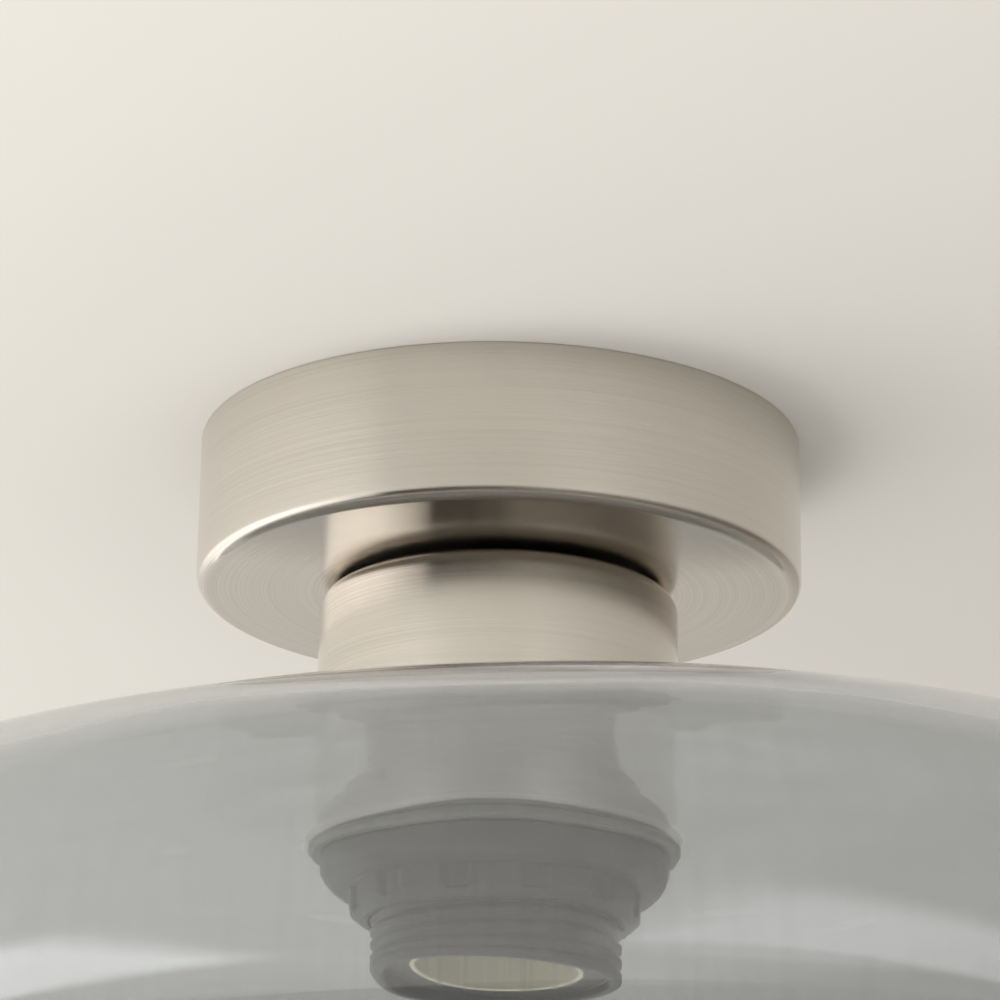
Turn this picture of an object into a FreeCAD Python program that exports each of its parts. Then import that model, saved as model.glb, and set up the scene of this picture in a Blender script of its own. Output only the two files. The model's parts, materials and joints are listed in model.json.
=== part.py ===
"""Flush mount ceiling light: brushed metal canopy and cup, smoky open glass shade, screw lampholder.

Millimetres. The origin is the centre of the ceiling face, +Z points up into the ceiling,
so every piece hangs at negative heights. +X runs along the ceiling bracket.
"""
import FreeCAD, Part
import math
import os
import Sketcher
from FreeCAD import Placement, Rotation, Vector

DIMENSIONS = {
    # canopy: the shallow drum against the ceiling
    "canopy_radius": 50.0,
    "canopy_depth": 25.5,
    "canopy_wall": 1.5,
    "canopy_edge": 2.0,
    # ceiling bracket: a strap with two ears turned down
    "strap_half_length": 44.0,
    "strap_width": 20.0,
    "strap_thickness": 2.0,
    "ear_depth": 16.0,
    "fixing_spacing": 60.0,
    "fixing_slot_length": 12.0,
    "fixing_slot_width": 5.2,
    "cable_hole_radius": 8.0,
    # screws through the canopy wall that pinch the ears
    "side_screw_radius": 2.0,
    "side_screw_gap": 0.1,
    "side_screw_sink": 0.4,
    "side_screw_drop": 11.0,
    "boss_radius": 4.5,
    "boss_length": 3.2,
    # hollow threaded rod and what is stacked on it
    "rod_radius": 5.0,
    "rod_bore_radius": 3.5,
    "rod_top": 17.5,
    "rod_length": 24.0,
    "rod_clearance": 0.15,
    "nut_across_flats": 14.0,
    "nut_height": 4.0,
    "washer_radius": 9.0,
    "washer_thickness": 1.2,
    "spacer_radius": 14.0,
    "spacer_height": 0.7,
    # cup: the smaller drum that hides the lampholder
    "cup_radius": 29.6,
    "cup_depth": 37.8,
    "cup_wall": 1.2,
    "cup_edge": 3.0,
    # glass shade: level land round the hole, then a blown body that leans to one side
    "gasket_thickness": 0.6,
    "gasket_width": 5.0,
    "glass_thickness": 2.6,
    "glass_hole_radius": 21.8,
    "land_radius": 33.0,
    "flat_radius": 72.0,
    "flat_drop": 0.4,
    "crown_radius": 136.0,
    "crown_angle": 20.0,
    "shade_radius": 150.0,
    "lower_wall_radius": 60.0,
    "rim_angle": 130.0,
    "rim_overrun": 12.0,
    "lean_angle": 2.23,
    # washer and ring that hold the glass up against the cup
    "lower_washer_radius": 30.5,
    "lower_washer_thickness": 2.0,
    "lower_washer_bore_radius": 21.1,
    "ring_flange_radius": 28.6,
    "ring_flange_height": 2.5,
    "ring_shoulder_drop": 3.4,
    "ring_hub_radius": 23.9,
    "ring_hub_bottom": 9.4,
    "ring_height": 10.9,
    "ring_lip": 1.1,
    "ring_clearance": 0.3,
    "small_edge": 0.7,
    # lampholder for a 27 mm screw lamp
    "skirt_radius": 20.8,
    "skirt_bottom": 90.2,
    "skirt_top": 52.0,
    "skirt_bore_radius": 16.8,
    "skirt_mouth_radius": 18.8,
    "skirt_mouth_depth": 2.0,
    "skirt_lip_radius": 14.5,
    "skirt_lip_height": 1.5,
    "ridge_pitch": 2.7,
    "ridge_depth": 0.8,
    "ridge_count": 9,
    "first_notch": 2.4,
    "notch_floor": 0.32,
    "cap_radius": 21.4,
    "cap_top": 35.5,
    "cap_bottom": 60.0,
    "cap_boss_radius": 8.5,
    "cap_wall": 2.2,
    "insert_radius": 16.5,
    "insert_top": 54.0,
    "insert_height": 8.0,
    "shell_bore_radius": 13.3,
    "shell_wall": 0.5,
    "shell_height": 20.0,
    "shell_foot_radius": 14.6,
    "shell_foot_height": 4.0,
    "collar_bore_radius": 13.6,
    "contact_width": 6.0,
    "contact_thickness": 0.5,
    "contact_reach": 10.5,
    "contact_root": 2.5,
    "contact_drop": 2.2,
    "contact_lift": 0.6,
    # wiring inside the canopy and the lampholder
    "block_length": 24.0,
    "block_width": 14.0,
    "block_height": 12.0,
    "block_centre": 27.0,
    "pole_spacing": 10.0,
    "entry_radius": 1.5,
    "well_radius": 1.8,
    "well_offset": 3.5,
    "stud_radius": 1.5,
    "stud_length": 15.6,
    "stud_nut_flats": 5.4,
    "stud_nut_height": 2.4,
    "earth_stud_radius": 2.0,
    "earth_stud_length": 9.6,
    "earth_centre": 27.0,
    "earth_washer_radius": 4.4,
    "earth_nut_flats": 7.0,
    "earth_nut_height": 3.0,
    "terminal_centre": 9.0,
    "terminal_length": 5.0,
    "terminal_hole_height": 3.25,
    "terminal_screw_radius": 1.5,
    "terminal_screw_rise": 2.0,
    "wire_radius": 1.0,
    "wire_spacing": 1.3,
    "wire_bend": 4.0,
    "wire_run": 4.8,
    "wire_rise": 6.4,
    "wire_reach": 5.2,
}

doc = FreeCAD.newDocument("flush_mount_ceiling_light")
sheet = doc.addObject("Spreadsheet::Sheet", "sizes")
for row, (name, number) in enumerate(DIMENSIONS.items(), start=1):
    sheet.set("A%d" % row, name.replace("_", " "))
    sheet.set("B%d" % row, str(number))
    sheet.setAlias("B%d" % row, name)
doc.recompute()


class Size:
    """A length, an angle or a count, kept with the cell expression that gives it."""

    def __init__(self, value, text=None):
        self.value = float(value)
        self.text = text if text else repr(float(value))

    def join(self, sign, other, value):
        return Size(value, "(%s %s %s)" % (self.text, sign, other.text))

    def __add__(self, other):
        other = as_size(other)
        return self.join("+", other, self.value + other.value)

    def __sub__(self, other):
        other = as_size(other)
        return self.join("-", other, self.value - other.value)

    def __mul__(self, other):
        other = as_size(other)
        return self.join("*", other, self.value * other.value)

    def __truediv__(self, other):
        other = as_size(other)
        return self.join("/", other, self.value / other.value)

    def __neg__(self):
        return Size(-self.value, "(-%s)" % self.text)


def as_size(number):
    return number if isinstance(number, Size) else Size(number)


def sine(angle):
    return Size(math.sin(math.radians(angle.value)), "sin(%s)" % angle.text)


def cosine(angle):
    return Size(math.cos(math.radians(angle.value)), "cos(%s)" % angle.text)


class Table:
    """The driving dimensions: Table().cup_radius is the Size of that cell."""

    def __getattr__(self, name):
        return Size(sheet.get(name), "sizes.%s" % name)


S = Table()

# Heights worked out from the driving dimensions, from the ceiling down.
CANOPY_FLOOR = S.canopy_wall - S.canopy_depth
CUP_TOP = -(S.canopy_depth + S.spacer_height)
CUP_BOTTOM = CUP_TOP - S.cup_depth
GLASS_TOP = CUP_BOTTOM - S.gasket_thickness
GLASS_UNDER = GLASS_TOP - S.glass_thickness
RING_TOP = GLASS_UNDER - S.lower_washer_thickness
INSERT_UNDER = -(S.insert_top + S.insert_height)
SIDE_SCREW_HEIGHT = -S.side_screw_drop

PARTS = []


def bind(item, path, size):
    """Tie one property of an object to the sheet."""
    item.setExpression(path, as_size(size).text)


def keep(item):
    """Put a finished sub-part on the list of files to write."""
    PARTS.append(item)
    return item


def new_body(label, x=0, y=0, z=0, rotation=None):
    """An empty sub-part whose own origin stands at x, y, z."""
    body = doc.addObject("PartDesign::Body", label)
    if rotation:
        body.Placement = Placement(Vector(), rotation)
    for axis, size in (("x", x), ("y", y), ("z", z)):
        bind(body, "Placement.Base.%s" % axis, size)
    return keep(body)


def new_sketch(body, name, plane, height):
    """A sketch on one of the body's own origin planes, moved along its normal by height."""
    sketch = body.newObject("Sketcher::SketchObject", "%s_%s" % (body.Label, name))
    support = [item for item in body.Origin.OriginFeatures if item.Role == plane][0]
    sketch.AttachmentSupport = [(support, "")]
    sketch.MapMode = "FlatFace"
    bind(sketch, "AttachmentOffset.Base.z", height)
    return sketch


def fix_point(sketch, element, point, x, y):
    """Place one point of the sketch by its two distances from the origin."""
    for kind, size in (("DistanceX", as_size(x)), ("DistanceY", as_size(y))):
        number = sketch.addConstraint(Sketcher.Constraint(kind, -1, 1, element, point, size.value))
        sketch.setExpression("Constraints[%d]" % number, size.text)


def outline(body, name, corners, plane="XZ_Plane", height=0):
    """A closed outline through the corners."""
    sketch = new_sketch(body, name, plane, height)
    spots = [Vector(as_size(x).value, as_size(y).value, 0) for x, y in corners]
    last = len(spots) - 1
    for index, spot in enumerate(spots):
        following = spots[0] if index == last else spots[index + 1]
        sketch.addGeometry(Part.LineSegment(spot, following))
    for index in range(len(spots)):
        following = 0 if index == last else index + 1
        sketch.addConstraint(Sketcher.Constraint("Coincident", index, 2, following, 1))
    for index, (x, y) in enumerate(corners):
        fix_point(sketch, index, 1, x, y)
    return sketch


def rings(body, name, circles, plane="XY_Plane", height=0):
    """Circles given as centre x, centre y and radius."""
    sketch = new_sketch(body, name, plane, height)
    for x, y, radius in circles:
        centre = Vector(as_size(x).value, as_size(y).value, 0)
        circle = Part.Circle(centre, Vector(0, 0, 1), as_size(radius).value)
        element = sketch.addGeometry(circle)
        number = sketch.addConstraint(Sketcher.Constraint("Radius", element, as_size(radius).value))
        sketch.setExpression("Constraints[%d]" % number, as_size(radius).text)
        fix_point(sketch, element, 3, x, y)
    return sketch


def box_corners(x, y, length, width):
    """Four corners of a rectangle centred on x, y."""
    x, y = as_size(x), as_size(y)
    half_length, half_width = as_size(length) / 2, as_size(width) / 2
    return [
        (x - half_length, y - half_width),
        (x + half_length, y - half_width),
        (x + half_length, y + half_width),
        (x - half_length, y + half_width),
    ]


def hexagon(across_flats):
    """Six corners of a hexagon, flats at the two ends of the second axis."""
    corner = across_flats / math.sqrt(3)
    flat = across_flats / 2
    return [
        (corner, 0), (corner / 2, flat), (-corner / 2, flat),
        (-corner, 0), (-corner / 2, -flat), (corner / 2, -flat),
    ]


def revolve(body, name, corners):
    """Turn an outline of radius and height about the upright axis."""
    sketch = outline(body, name + "_outline", corners)
    feature = body.newObject("PartDesign::Revolution", "%s_%s" % (body.Label, name))
    feature.Profile = sketch
    feature.ReferenceAxis = (sketch, ["V_Axis"])
    feature.Angle = 360
    return feature


def groove(body, name, corners):
    """Cut an outline of radius and height all round the upright axis."""
    sketch = outline(body, name + "_outline", corners)
    feature = body.newObject("PartDesign::Groove", "%s_%s" % (body.Label, name))
    feature.Profile = sketch
    feature.ReferenceAxis = (sketch, ["V_Axis"])
    feature.Angle = 360
    return feature


def pad(body, name, sketch, length):
    """Raise a sketch along its normal."""
    feature = body.newObject("PartDesign::Pad", "%s_%s" % (body.Label, name))
    feature.Profile = sketch
    bind(feature, "Length", length)
    return feature


def drill(body, name, sketch, depth=None):
    """Cut a sketch down to a depth below its plane, or right through both ways."""
    before = solid_volume(body)
    feature = body.newObject("PartDesign::Pocket", "%s_%s" % (body.Label, name))
    feature.Profile = sketch
    if depth is None:
        feature.Type = "ThroughAll"
        feature.Midplane = True
    else:
        bind(feature, "Length", depth)
    if solid_volume(body) >= before:
        raise RuntimeError("%s removes nothing from %s" % (name, body.Label))
    return feature


def solid_volume(body):
    doc.recompute()
    return body.Shape.Volume


def circular_edges(feature, radius, height):
    """Names of the full round edges of that radius at that height in the body's own frame."""
    doc.recompute()
    names = []
    for index, edge in enumerate(feature.Shape.Edges, start=1):
        curve = edge.Curve
        if not isinstance(curve, Part.Circle):
            continue
        if abs(curve.Radius - as_size(radius).value) > 0.01:
            continue
        if abs(edge.BoundBox.Center.z - as_size(height).value) < 0.01:
            names.append("Edge%d" % index)
    return names


def soften(body, name, feature, kind, size, edges):
    """Round (Fillet) or bevel (Chamfer) some edges of a feature."""
    dressed = body.newObject("PartDesign::%s" % kind, "%s_%s" % (body.Label, name))
    dressed.Base = (feature, edges)
    bind(dressed, "Radius" if kind == "Fillet" else "Size", size)
    doc.recompute()
    return dressed


def group(label, items):
    """Several loose solids, such as a set of screws, under one name."""
    compound = doc.addObject("Part::Compound", label)
    compound.Links = items
    return keep(compound)


def cylinder(label, radius, height, x=0, y=0, z=0, rotation=None):
    """A plain upright or turned cylinder from its base point."""
    item = doc.addObject("Part::Cylinder", label)
    bind(item, "Radius", radius)
    bind(item, "Height", height)
    if rotation:
        item.Placement = Placement(Vector(), rotation)
    for axis, size in (("x", x), ("y", y), ("z", z)):
        bind(item, "Placement.Base.%s" % axis, size)
    return item


def boolean(kind, label, base, tool):
    """Cut, Fuse or Common of two objects."""
    item = doc.addObject("Part::%s" % kind, label)
    item.Base = base
    item.Tool = tool
    return item


TO_RIGHT = Rotation(Vector(0, 1, 0), 90)
TO_LEFT = Rotation(Vector(0, 1, 0), -90)


# ---- against the ceiling -------------------------------------------------------------------

def make_bracket():
    """Strap flat on the ceiling, two ears turned down, slots for two ceiling screws."""
    body = new_body("ceiling_bracket")
    length = S.strap_half_length * 2
    web = outline(body, "web_outline", box_corners(0, 0, length, S.strap_width), "XY_Plane",
                  -S.strap_thickness)
    pad(body, "web", web, S.strap_thickness)
    ear_middle = S.strap_half_length - S.strap_thickness / 2
    for side, middle in (("left", -ear_middle), ("right", ear_middle)):
        corners = box_corners(middle, 0, S.strap_thickness, S.strap_width)
        ear = outline(body, side + "_ear_outline", corners, "XY_Plane", -S.ear_depth)
        pad(body, side + "_ear", ear, S.ear_depth)
    end_offset = (S.fixing_slot_length - S.fixing_slot_width) / 2
    centres = [-S.fixing_spacing / 2, S.fixing_spacing / 2]
    ends = []
    for centre in centres:
        ends.append((centre - end_offset, 0, S.fixing_slot_width / 2))
        ends.append((centre + end_offset, 0, S.fixing_slot_width / 2))
    drill(body, "slot_ends", rings(body, "slot_end_circles", ends))
    for side, centre in zip(("left", "right"), centres):
        corners = box_corners(centre, 0, end_offset * 2, S.fixing_slot_width)
        drill(body, side + "_slot", outline(body, side + "_slot_outline", corners, "XY_Plane"))
    drill(body, "cable_hole", rings(body, "cable_circle", [(0, 0, S.cable_hole_radius)]))
    return body


def make_canopy():
    """Shallow drum, open at the ceiling, with a rounded lower edge."""
    body = new_body("canopy")
    inner = S.canopy_radius - S.canopy_wall
    drum = revolve(body, "drum", [
        (S.rod_radius + S.rod_clearance, -S.canopy_depth),
        (S.canopy_radius, -S.canopy_depth),
        (S.canopy_radius, 0),
        (inner, 0),
        (inner, CANOPY_FLOOR),
        (S.rod_radius + S.rod_clearance, CANOPY_FLOOR),
    ])
    edge = circular_edges(drum, S.canopy_radius, -S.canopy_depth)
    soften(body, "lower_edge", drum, "Fillet", S.canopy_edge, edge)
    hole = rings(body, "screw_circle", [(0, SIDE_SCREW_HEIGHT, S.side_screw_radius + S.side_screw_gap)],
                 "YZ_Plane")
    drill(body, "screw_holes", hole)
    return body


def make_screw_bosses():
    """Two threaded bosses welded inside the canopy wall."""
    inner = S.canopy_radius - S.canopy_wall
    start = inner - S.boss_length
    bosses = []
    for side, turn, place in (("left", TO_LEFT, -start), ("right", TO_RIGHT, start)):
        solid = cylinder(side + "_boss_bar", S.boss_radius, S.boss_length * 2,
                         place, 0, SIDE_SCREW_HEIGHT, turn)
        bore = cylinder(side + "_boss_bore", S.side_screw_radius + S.side_screw_gap,
                        S.boss_length * 2, place, 0, SIDE_SCREW_HEIGHT, turn)
        room = cylinder(side + "_boss_room", inner, S.canopy_depth, 0, 0, -S.canopy_depth)
        tube = boolean("Cut", side + "_boss_tube", solid, bore)
        bosses.append(boolean("Common", side + "_boss", tube, room))
    return group("canopy_screw_bosses", bosses)


def make_side_screws():
    """Headless screws in the canopy wall; each tip presses on an ear of the bracket."""
    tip = S.strap_half_length + S.side_screw_gap
    length = S.canopy_radius - S.side_screw_sink - tip
    for side, turn, place in (("left", TO_LEFT, -tip), ("right", TO_RIGHT, tip)):
        body = new_body("canopy_screw_" + side, place, 0, SIDE_SCREW_HEIGHT, turn)
        shank = pad(body, "shank", rings(body, "shank_circle", [(0, 0, S.side_screw_radius)]), length)
        edges = circular_edges(shank, S.side_screw_radius, 0)
        soften(body, "tip", shank, "Chamfer", S.side_screw_radius / 4, edges)
        key = outline(body, "key_outline", hexagon(S.side_screw_radius), "XY_Plane", length)
        drill(body, "key_socket", key, length / 2)


# ---- stack on the hollow rod ---------------------------------------------------------------

def make_rod():
    """Hollow threaded rod that ties canopy, cup and lampholder together and carries the wires."""
    body = new_body("threaded_rod", z=-S.rod_top - S.rod_length)
    revolve(body, "tube", [
        (S.rod_bore_radius, 0),
        (S.rod_radius, 0),
        (S.rod_radius, S.rod_length),
        (S.rod_bore_radius, S.rod_length),
    ])
    return body


def make_nut(label, underside):
    """Hexagonal lock nut on the rod."""
    body = new_body(label, z=underside)
    hexagonal = pad(body, "hexagon", outline(body, "flats", hexagon(S.nut_across_flats), "XY_Plane"),
                    S.nut_height)
    drill(body, "bore", rings(body, "bore_circle", [(0, 0, S.rod_radius)]))
    return hexagonal


def make_disc(label, underside, radius, bore, thickness):
    """Flat ring: a washer, gasket or spacer."""
    body = new_body(label, z=underside)
    return revolve(body, "ring", [(bore, 0), (radius, 0), (radius, thickness), (bore, thickness)])


def make_stack():
    """Nuts, washers and the spacer that leaves the dark gap between canopy and cup."""
    bore = S.rod_radius + S.rod_clearance
    make_disc("canopy_washer", CANOPY_FLOOR, S.washer_radius, bore, S.washer_thickness)
    make_nut("upper_nut", CANOPY_FLOOR + S.washer_thickness)
    make_disc("gap_spacer", CUP_TOP, S.spacer_radius, bore, S.spacer_height)
    ceiling_of_cup = CUP_TOP - S.cup_wall
    make_disc("cup_washer", ceiling_of_cup - S.washer_thickness, S.washer_radius, bore,
              S.washer_thickness)
    make_nut("lower_nut", ceiling_of_cup - S.washer_thickness - S.nut_height)


def make_cup():
    """Drum closed at the top and open below, where its rim bears on the glass."""
    body = new_body("lamp_cup", z=CUP_BOTTOM)
    bore = S.rod_radius + S.rod_clearance
    inner = S.cup_radius - S.cup_wall
    drum = revolve(body, "drum", [
        (inner, 0),
        (S.cup_radius, 0),
        (S.cup_radius, S.cup_depth),
        (bore, S.cup_depth),
        (bore, S.cup_depth - S.cup_wall),
        (inner, S.cup_depth - S.cup_wall),
    ])
    edge = circular_edges(drum, S.cup_radius, S.cup_depth)
    rounded = soften(body, "upper_edge", drum, "Fillet", S.cup_edge, edge)
    corner = circular_edges(rounded, inner, S.cup_depth - S.cup_wall)
    soften(body, "inner_corner", rounded, "Fillet", S.cup_edge - S.cup_wall, corner)
    return body


# ---- glass and what holds it ---------------------------------------------------------------

def shade_section(inset, beyond):
    """Radius and height of each ring of the shade's skin, inset into the glass from outside.

    The skin falls a little from the land to the crown, then follows a wide crown arc, the
    shoulder down to the widest ring, and the lower wall back in, to an angle beyond the rim.
    """
    crown = S.crown_radius - inset
    crown_reach = S.crown_radius * sine(S.crown_angle)
    shoulder_radius = (S.shade_radius - S.flat_radius - crown_reach) / (as_size(1) - sine(S.crown_angle))
    shoulder = shoulder_radius - inset
    lower = S.lower_wall_radius - inset
    crown_centre = GLASS_TOP - S.flat_drop - S.crown_radius
    shoulder_centre = S.shade_radius - shoulder_radius
    widest = crown_centre + (S.crown_radius - shoulder_radius) * cosine(S.crown_angle)
    lower_centre = S.shade_radius - S.lower_wall_radius
    lower_turn = S.rim_angle + beyond - 90

    section = []
    for share in (0.0, 0.5, 1.0):
        section.append((S.land_radius + (S.flat_radius - S.land_radius) * share,
                        GLASS_TOP - inset - S.flat_drop * share))
    for share in (0.5, 1.0):
        angle = S.crown_angle * share
        section.append((S.flat_radius + crown * sine(angle), crown_centre + crown * cosine(angle)))
    for share in (0.2, 0.4, 0.6, 0.8, 1.0):
        angle = S.crown_angle + (as_size(90) - S.crown_angle) * share
        section.append((shoulder_centre + shoulder * sine(angle), widest + shoulder * cosine(angle)))
    for share in (0.33, 0.67, 1.0):
        angle = as_size(90) + lower_turn * share
        section.append((lower_centre + lower * sine(angle), widest + lower * cosine(angle)))
    return section


def shade_skin(label, inset, beyond):
    """Solid inside one skin of the shade, lofted through rings that lean more and more.

    The innermost ring is level with the cup; the lean is complete part way along the crown.
    """
    hoops = []
    for index, (radius, height) in enumerate(shade_section(inset, beyond)):
        share = math.sin(math.radians(90) * min(index / 3, 1.0))
        hoop = doc.addObject("Part::Circle", "%s_hoop_%d" % (label, index))
        bind(hoop, "Radius", radius)
        hoop.Placement = Placement(Vector(), Rotation(Vector(0, -1, 0), 1))
        bind(hoop, "Placement.Base.z", height)
        bind(hoop, "Placement.Rotation.Angle", S.lean_angle * share)
        hoops.append(hoop)
    loft = doc.addObject("Part::Loft", label)
    loft.Sections = hoops
    loft.Solid = True
    loft.Ruled = False
    return loft


def make_glass():
    """Wide shallow shade of smoky glass, open below, with a ground hole for the lampholder."""
    outside = shade_skin("shade_outside", as_size(0), 0)
    inside = shade_skin("shade_inside", S.glass_thickness, S.rim_overrun)
    shell = boolean("Cut", "shade_shell", outside, inside)
    hole = cylinder("shade_hole", S.glass_hole_radius, S.glass_thickness * 3, 0, 0,
                    GLASS_UNDER - S.glass_thickness)
    return keep(boolean("Cut", "glass_shade", shell, hole))


def make_glass_seals():
    """Thin gasket under the cup's rim and the soft washer between glass and ring."""
    gasket_radius = S.cup_radius - S.cup_wall / 2
    make_disc("upper_gasket", GLASS_TOP, gasket_radius, gasket_radius - S.gasket_width,
              S.gasket_thickness)
    make_disc("lower_washer", RING_TOP, S.lower_washer_radius, S.lower_washer_bore_radius,
              S.lower_washer_thickness)


def make_ring():
    """Shade ring: a flange under the washer and a hub to grip, bored for the skirt's thread.

    The flange rounds in to the hub, and the hub's lower edge is bevelled down to a thin lip.
    """
    body = new_body("shade_ring", z=RING_TOP)
    bore = S.skirt_radius + S.ring_clearance
    taper = S.ring_flange_radius - S.ring_hub_radius
    section = [(bore, 0), (S.ring_flange_radius, 0), (S.ring_flange_radius, -S.ring_flange_height)]
    for turn in (as_size(30), as_size(60), as_size(90)):
        section.append((S.ring_flange_radius - taper * (as_size(1) - cosine(turn)),
                        -S.ring_flange_height - S.ring_shoulder_drop * sine(turn)))
    section.append((S.ring_hub_radius, -S.ring_hub_bottom))
    section.append((bore + S.ring_lip, -S.ring_height))
    section.append((bore, -S.ring_height))
    ring = revolve(body, "ring", section)
    edge = circular_edges(ring, S.ring_flange_radius, 0)
    soften(body, "rim", ring, "Fillet", S.small_edge, edge)
    return body


# ---- lampholder ----------------------------------------------------------------------------

def make_cap():
    """Top of the lampholder: a boss for the rod and a bell over the terminals."""
    body = new_body("lampholder_cap", z=-S.cap_bottom)
    top = S.cap_bottom - S.cap_top
    floor = S.cap_bottom - S.rod_top - S.rod_length
    shoulder = floor - S.cap_wall * 2
    inner = S.cap_radius - S.cap_wall
    return revolve(body, "bell", [
        (S.rod_radius, top),
        (S.cap_boss_radius, top),
        (S.cap_boss_radius, floor),
        (S.cap_radius, shoulder),
        (S.cap_radius, 0),
        (inner, 0),
        (inner, shoulder - S.cap_wall / 2),
        (S.cap_boss_radius, floor - S.cap_wall),
        (S.rod_bore_radius, floor - S.cap_wall),
        (S.rod_bore_radius, floor),
        (S.rod_radius, floor),
    ])


def make_skirt():
    """Outer shell of the lampholder, with the ridges that the shade ring screws along."""
    body = new_body("lampholder_skirt", z=-S.skirt_bottom)
    neck = S.skirt_bottom - S.cap_bottom
    top = S.skirt_bottom - S.skirt_top
    neck_radius = S.cap_radius - S.cap_wall - S.rod_clearance
    lip_top = S.skirt_mouth_depth + S.skirt_lip_height
    shell = revolve(body, "shell", [
        (S.skirt_mouth_radius, 0),
        (S.skirt_radius, 0),
        (S.skirt_radius, neck),
        (neck_radius, neck),
        (neck_radius, top),
        (S.skirt_bore_radius, top),
        (S.skirt_bore_radius, lip_top),
        (S.skirt_lip_radius, lip_top),
        (S.skirt_lip_radius, S.skirt_mouth_depth),
        (S.skirt_mouth_radius, S.skirt_mouth_depth),
    ])
    edge = circular_edges(shell, S.skirt_radius, 0)
    soften(body, "lower_edge", shell, "Chamfer", S.ridge_depth, edge)
    notch = groove(body, "notch", [
        (S.skirt_radius + S.ridge_depth, S.first_notch - S.ridge_depth),
        (S.skirt_radius + S.ridge_depth, S.first_notch + S.ridge_depth),
        (S.skirt_radius - S.ridge_depth, S.first_notch + S.notch_floor / 2),
        (S.skirt_radius - S.ridge_depth, S.first_notch - S.notch_floor / 2),
    ])
    before = solid_volume(body)
    row = body.newObject("PartDesign::LinearPattern", "skirt_notches")
    row.Originals = [notch]
    row.Direction = (notch.Profile[0], ["V_Axis"])
    bind(row, "Length", S.ridge_pitch * (S.ridge_count - 1))
    bind(row, "Occurrences", S.ridge_count)
    body.Tip = row
    if solid_volume(body) >= before:
        raise RuntimeError("the row of notches cuts nothing")
    return body


def make_insert():
    """Ceramic disc that carries the contacts, with two holes for the terminals."""
    body = new_body("ceramic_insert", z=INSERT_UNDER)
    disc = pad(body, "disc", rings(body, "disc_circle", [(0, 0, S.insert_radius)]), S.insert_height)
    rim = circular_edges(disc, S.insert_radius, S.insert_height)
    soften(body, "upper_edge", disc, "Chamfer", S.small_edge, rim)
    screws = [(side, 0, S.terminal_screw_radius)
              for side in (-S.terminal_centre, S.terminal_centre)]
    drill(body, "terminal_holes", rings(body, "terminal_circles", screws))
    return body


def make_shell():
    """Metal screw shell that the lamp turns into, with a wider foot that sits on the insert."""
    body = new_body("screw_shell", z=INSERT_UNDER - S.shell_height)
    outer = S.shell_bore_radius + S.shell_wall
    foot = S.shell_foot_radius + S.shell_wall
    flange = foot + S.shell_wall * 2
    shoulder = S.shell_height - S.shell_foot_height
    return revolve(body, "shell", [
        (S.shell_bore_radius, 0),
        (outer, 0),
        (outer, shoulder - S.shell_wall),
        (foot, shoulder - S.shell_wall),
        (foot, S.shell_height - S.shell_wall),
        (flange, S.shell_height - S.shell_wall),
        (flange, S.shell_height),
        (S.shell_foot_radius, S.shell_height),
        (S.shell_foot_radius, shoulder),
        (S.shell_bore_radius, shoulder),
    ])


def make_collar():
    """Pale insulating collar: a thin sleeve in the skirt's lip, wider above it."""
    base = S.skirt_bottom - S.skirt_mouth_depth
    height = base + INSERT_UNDER - S.shell_height
    body = new_body("insulating_collar", z=-base)
    return revolve(body, "collar", [
        (S.collar_bore_radius, 0),
        (S.skirt_lip_radius, 0),
        (S.skirt_lip_radius, S.skirt_lip_height),
        (S.skirt_bore_radius, S.skirt_lip_height),
        (S.skirt_bore_radius, height),
        (S.collar_bore_radius, height),
    ])


def make_contact():
    """Springy brass tongue that touches the middle of the lamp's base."""
    body = new_body("centre_contact", z=INSERT_UNDER)
    bend = S.contact_reach - S.contact_root
    dimple = S.contact_width / 4
    tip = -S.contact_width / 2
    low = -S.contact_drop
    underside = low - S.contact_thickness
    tongue = outline(body, "tongue_outline", [
        (S.contact_reach, 0),
        (S.contact_reach, -S.contact_thickness),
        (bend, -S.contact_thickness),
        (dimple, underside),
        (-dimple, underside),
        (tip, underside + S.contact_lift),
        (tip, low + S.contact_lift),
        (-dimple, low),
        (dimple, low),
        (bend, 0),
    ], "XZ_Plane", tip)
    return pad(body, "tongue", tongue, S.contact_width)


def make_terminals():
    """Two brass clamps on the insert and the screws that close them on the wires."""
    base = -S.insert_top
    for label, place in (("live_terminal", S.terminal_centre), ("neutral_terminal", -S.terminal_centre)):
        body = new_body(label, x=place, z=base)
        square = box_corners(0, 0, S.terminal_length, S.terminal_length)
        pad(body, "clamp", outline(body, "clamp_outline", square, "XY_Plane"), S.terminal_length)
        wire = rings(body, "wire_circle", [(0, S.terminal_hole_height, S.wire_radius)], "YZ_Plane")
        drill(body, "wire_hole", wire)
        screw = rings(body, "screw_circle", [(0, 0, S.terminal_screw_radius)])
        drill(body, "screw_hole", screw)
    depth = S.insert_height / 2
    screws = []
    for side, place in (("live", S.terminal_centre), ("neutral", -S.terminal_centre)):
        screws.append(cylinder(side + "_fixing_screw", S.terminal_screw_radius,
                               depth + S.terminal_screw_rise, place, 0, base - depth))
    return group("insert_screws", screws)


# ---- wiring --------------------------------------------------------------------------------

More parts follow.
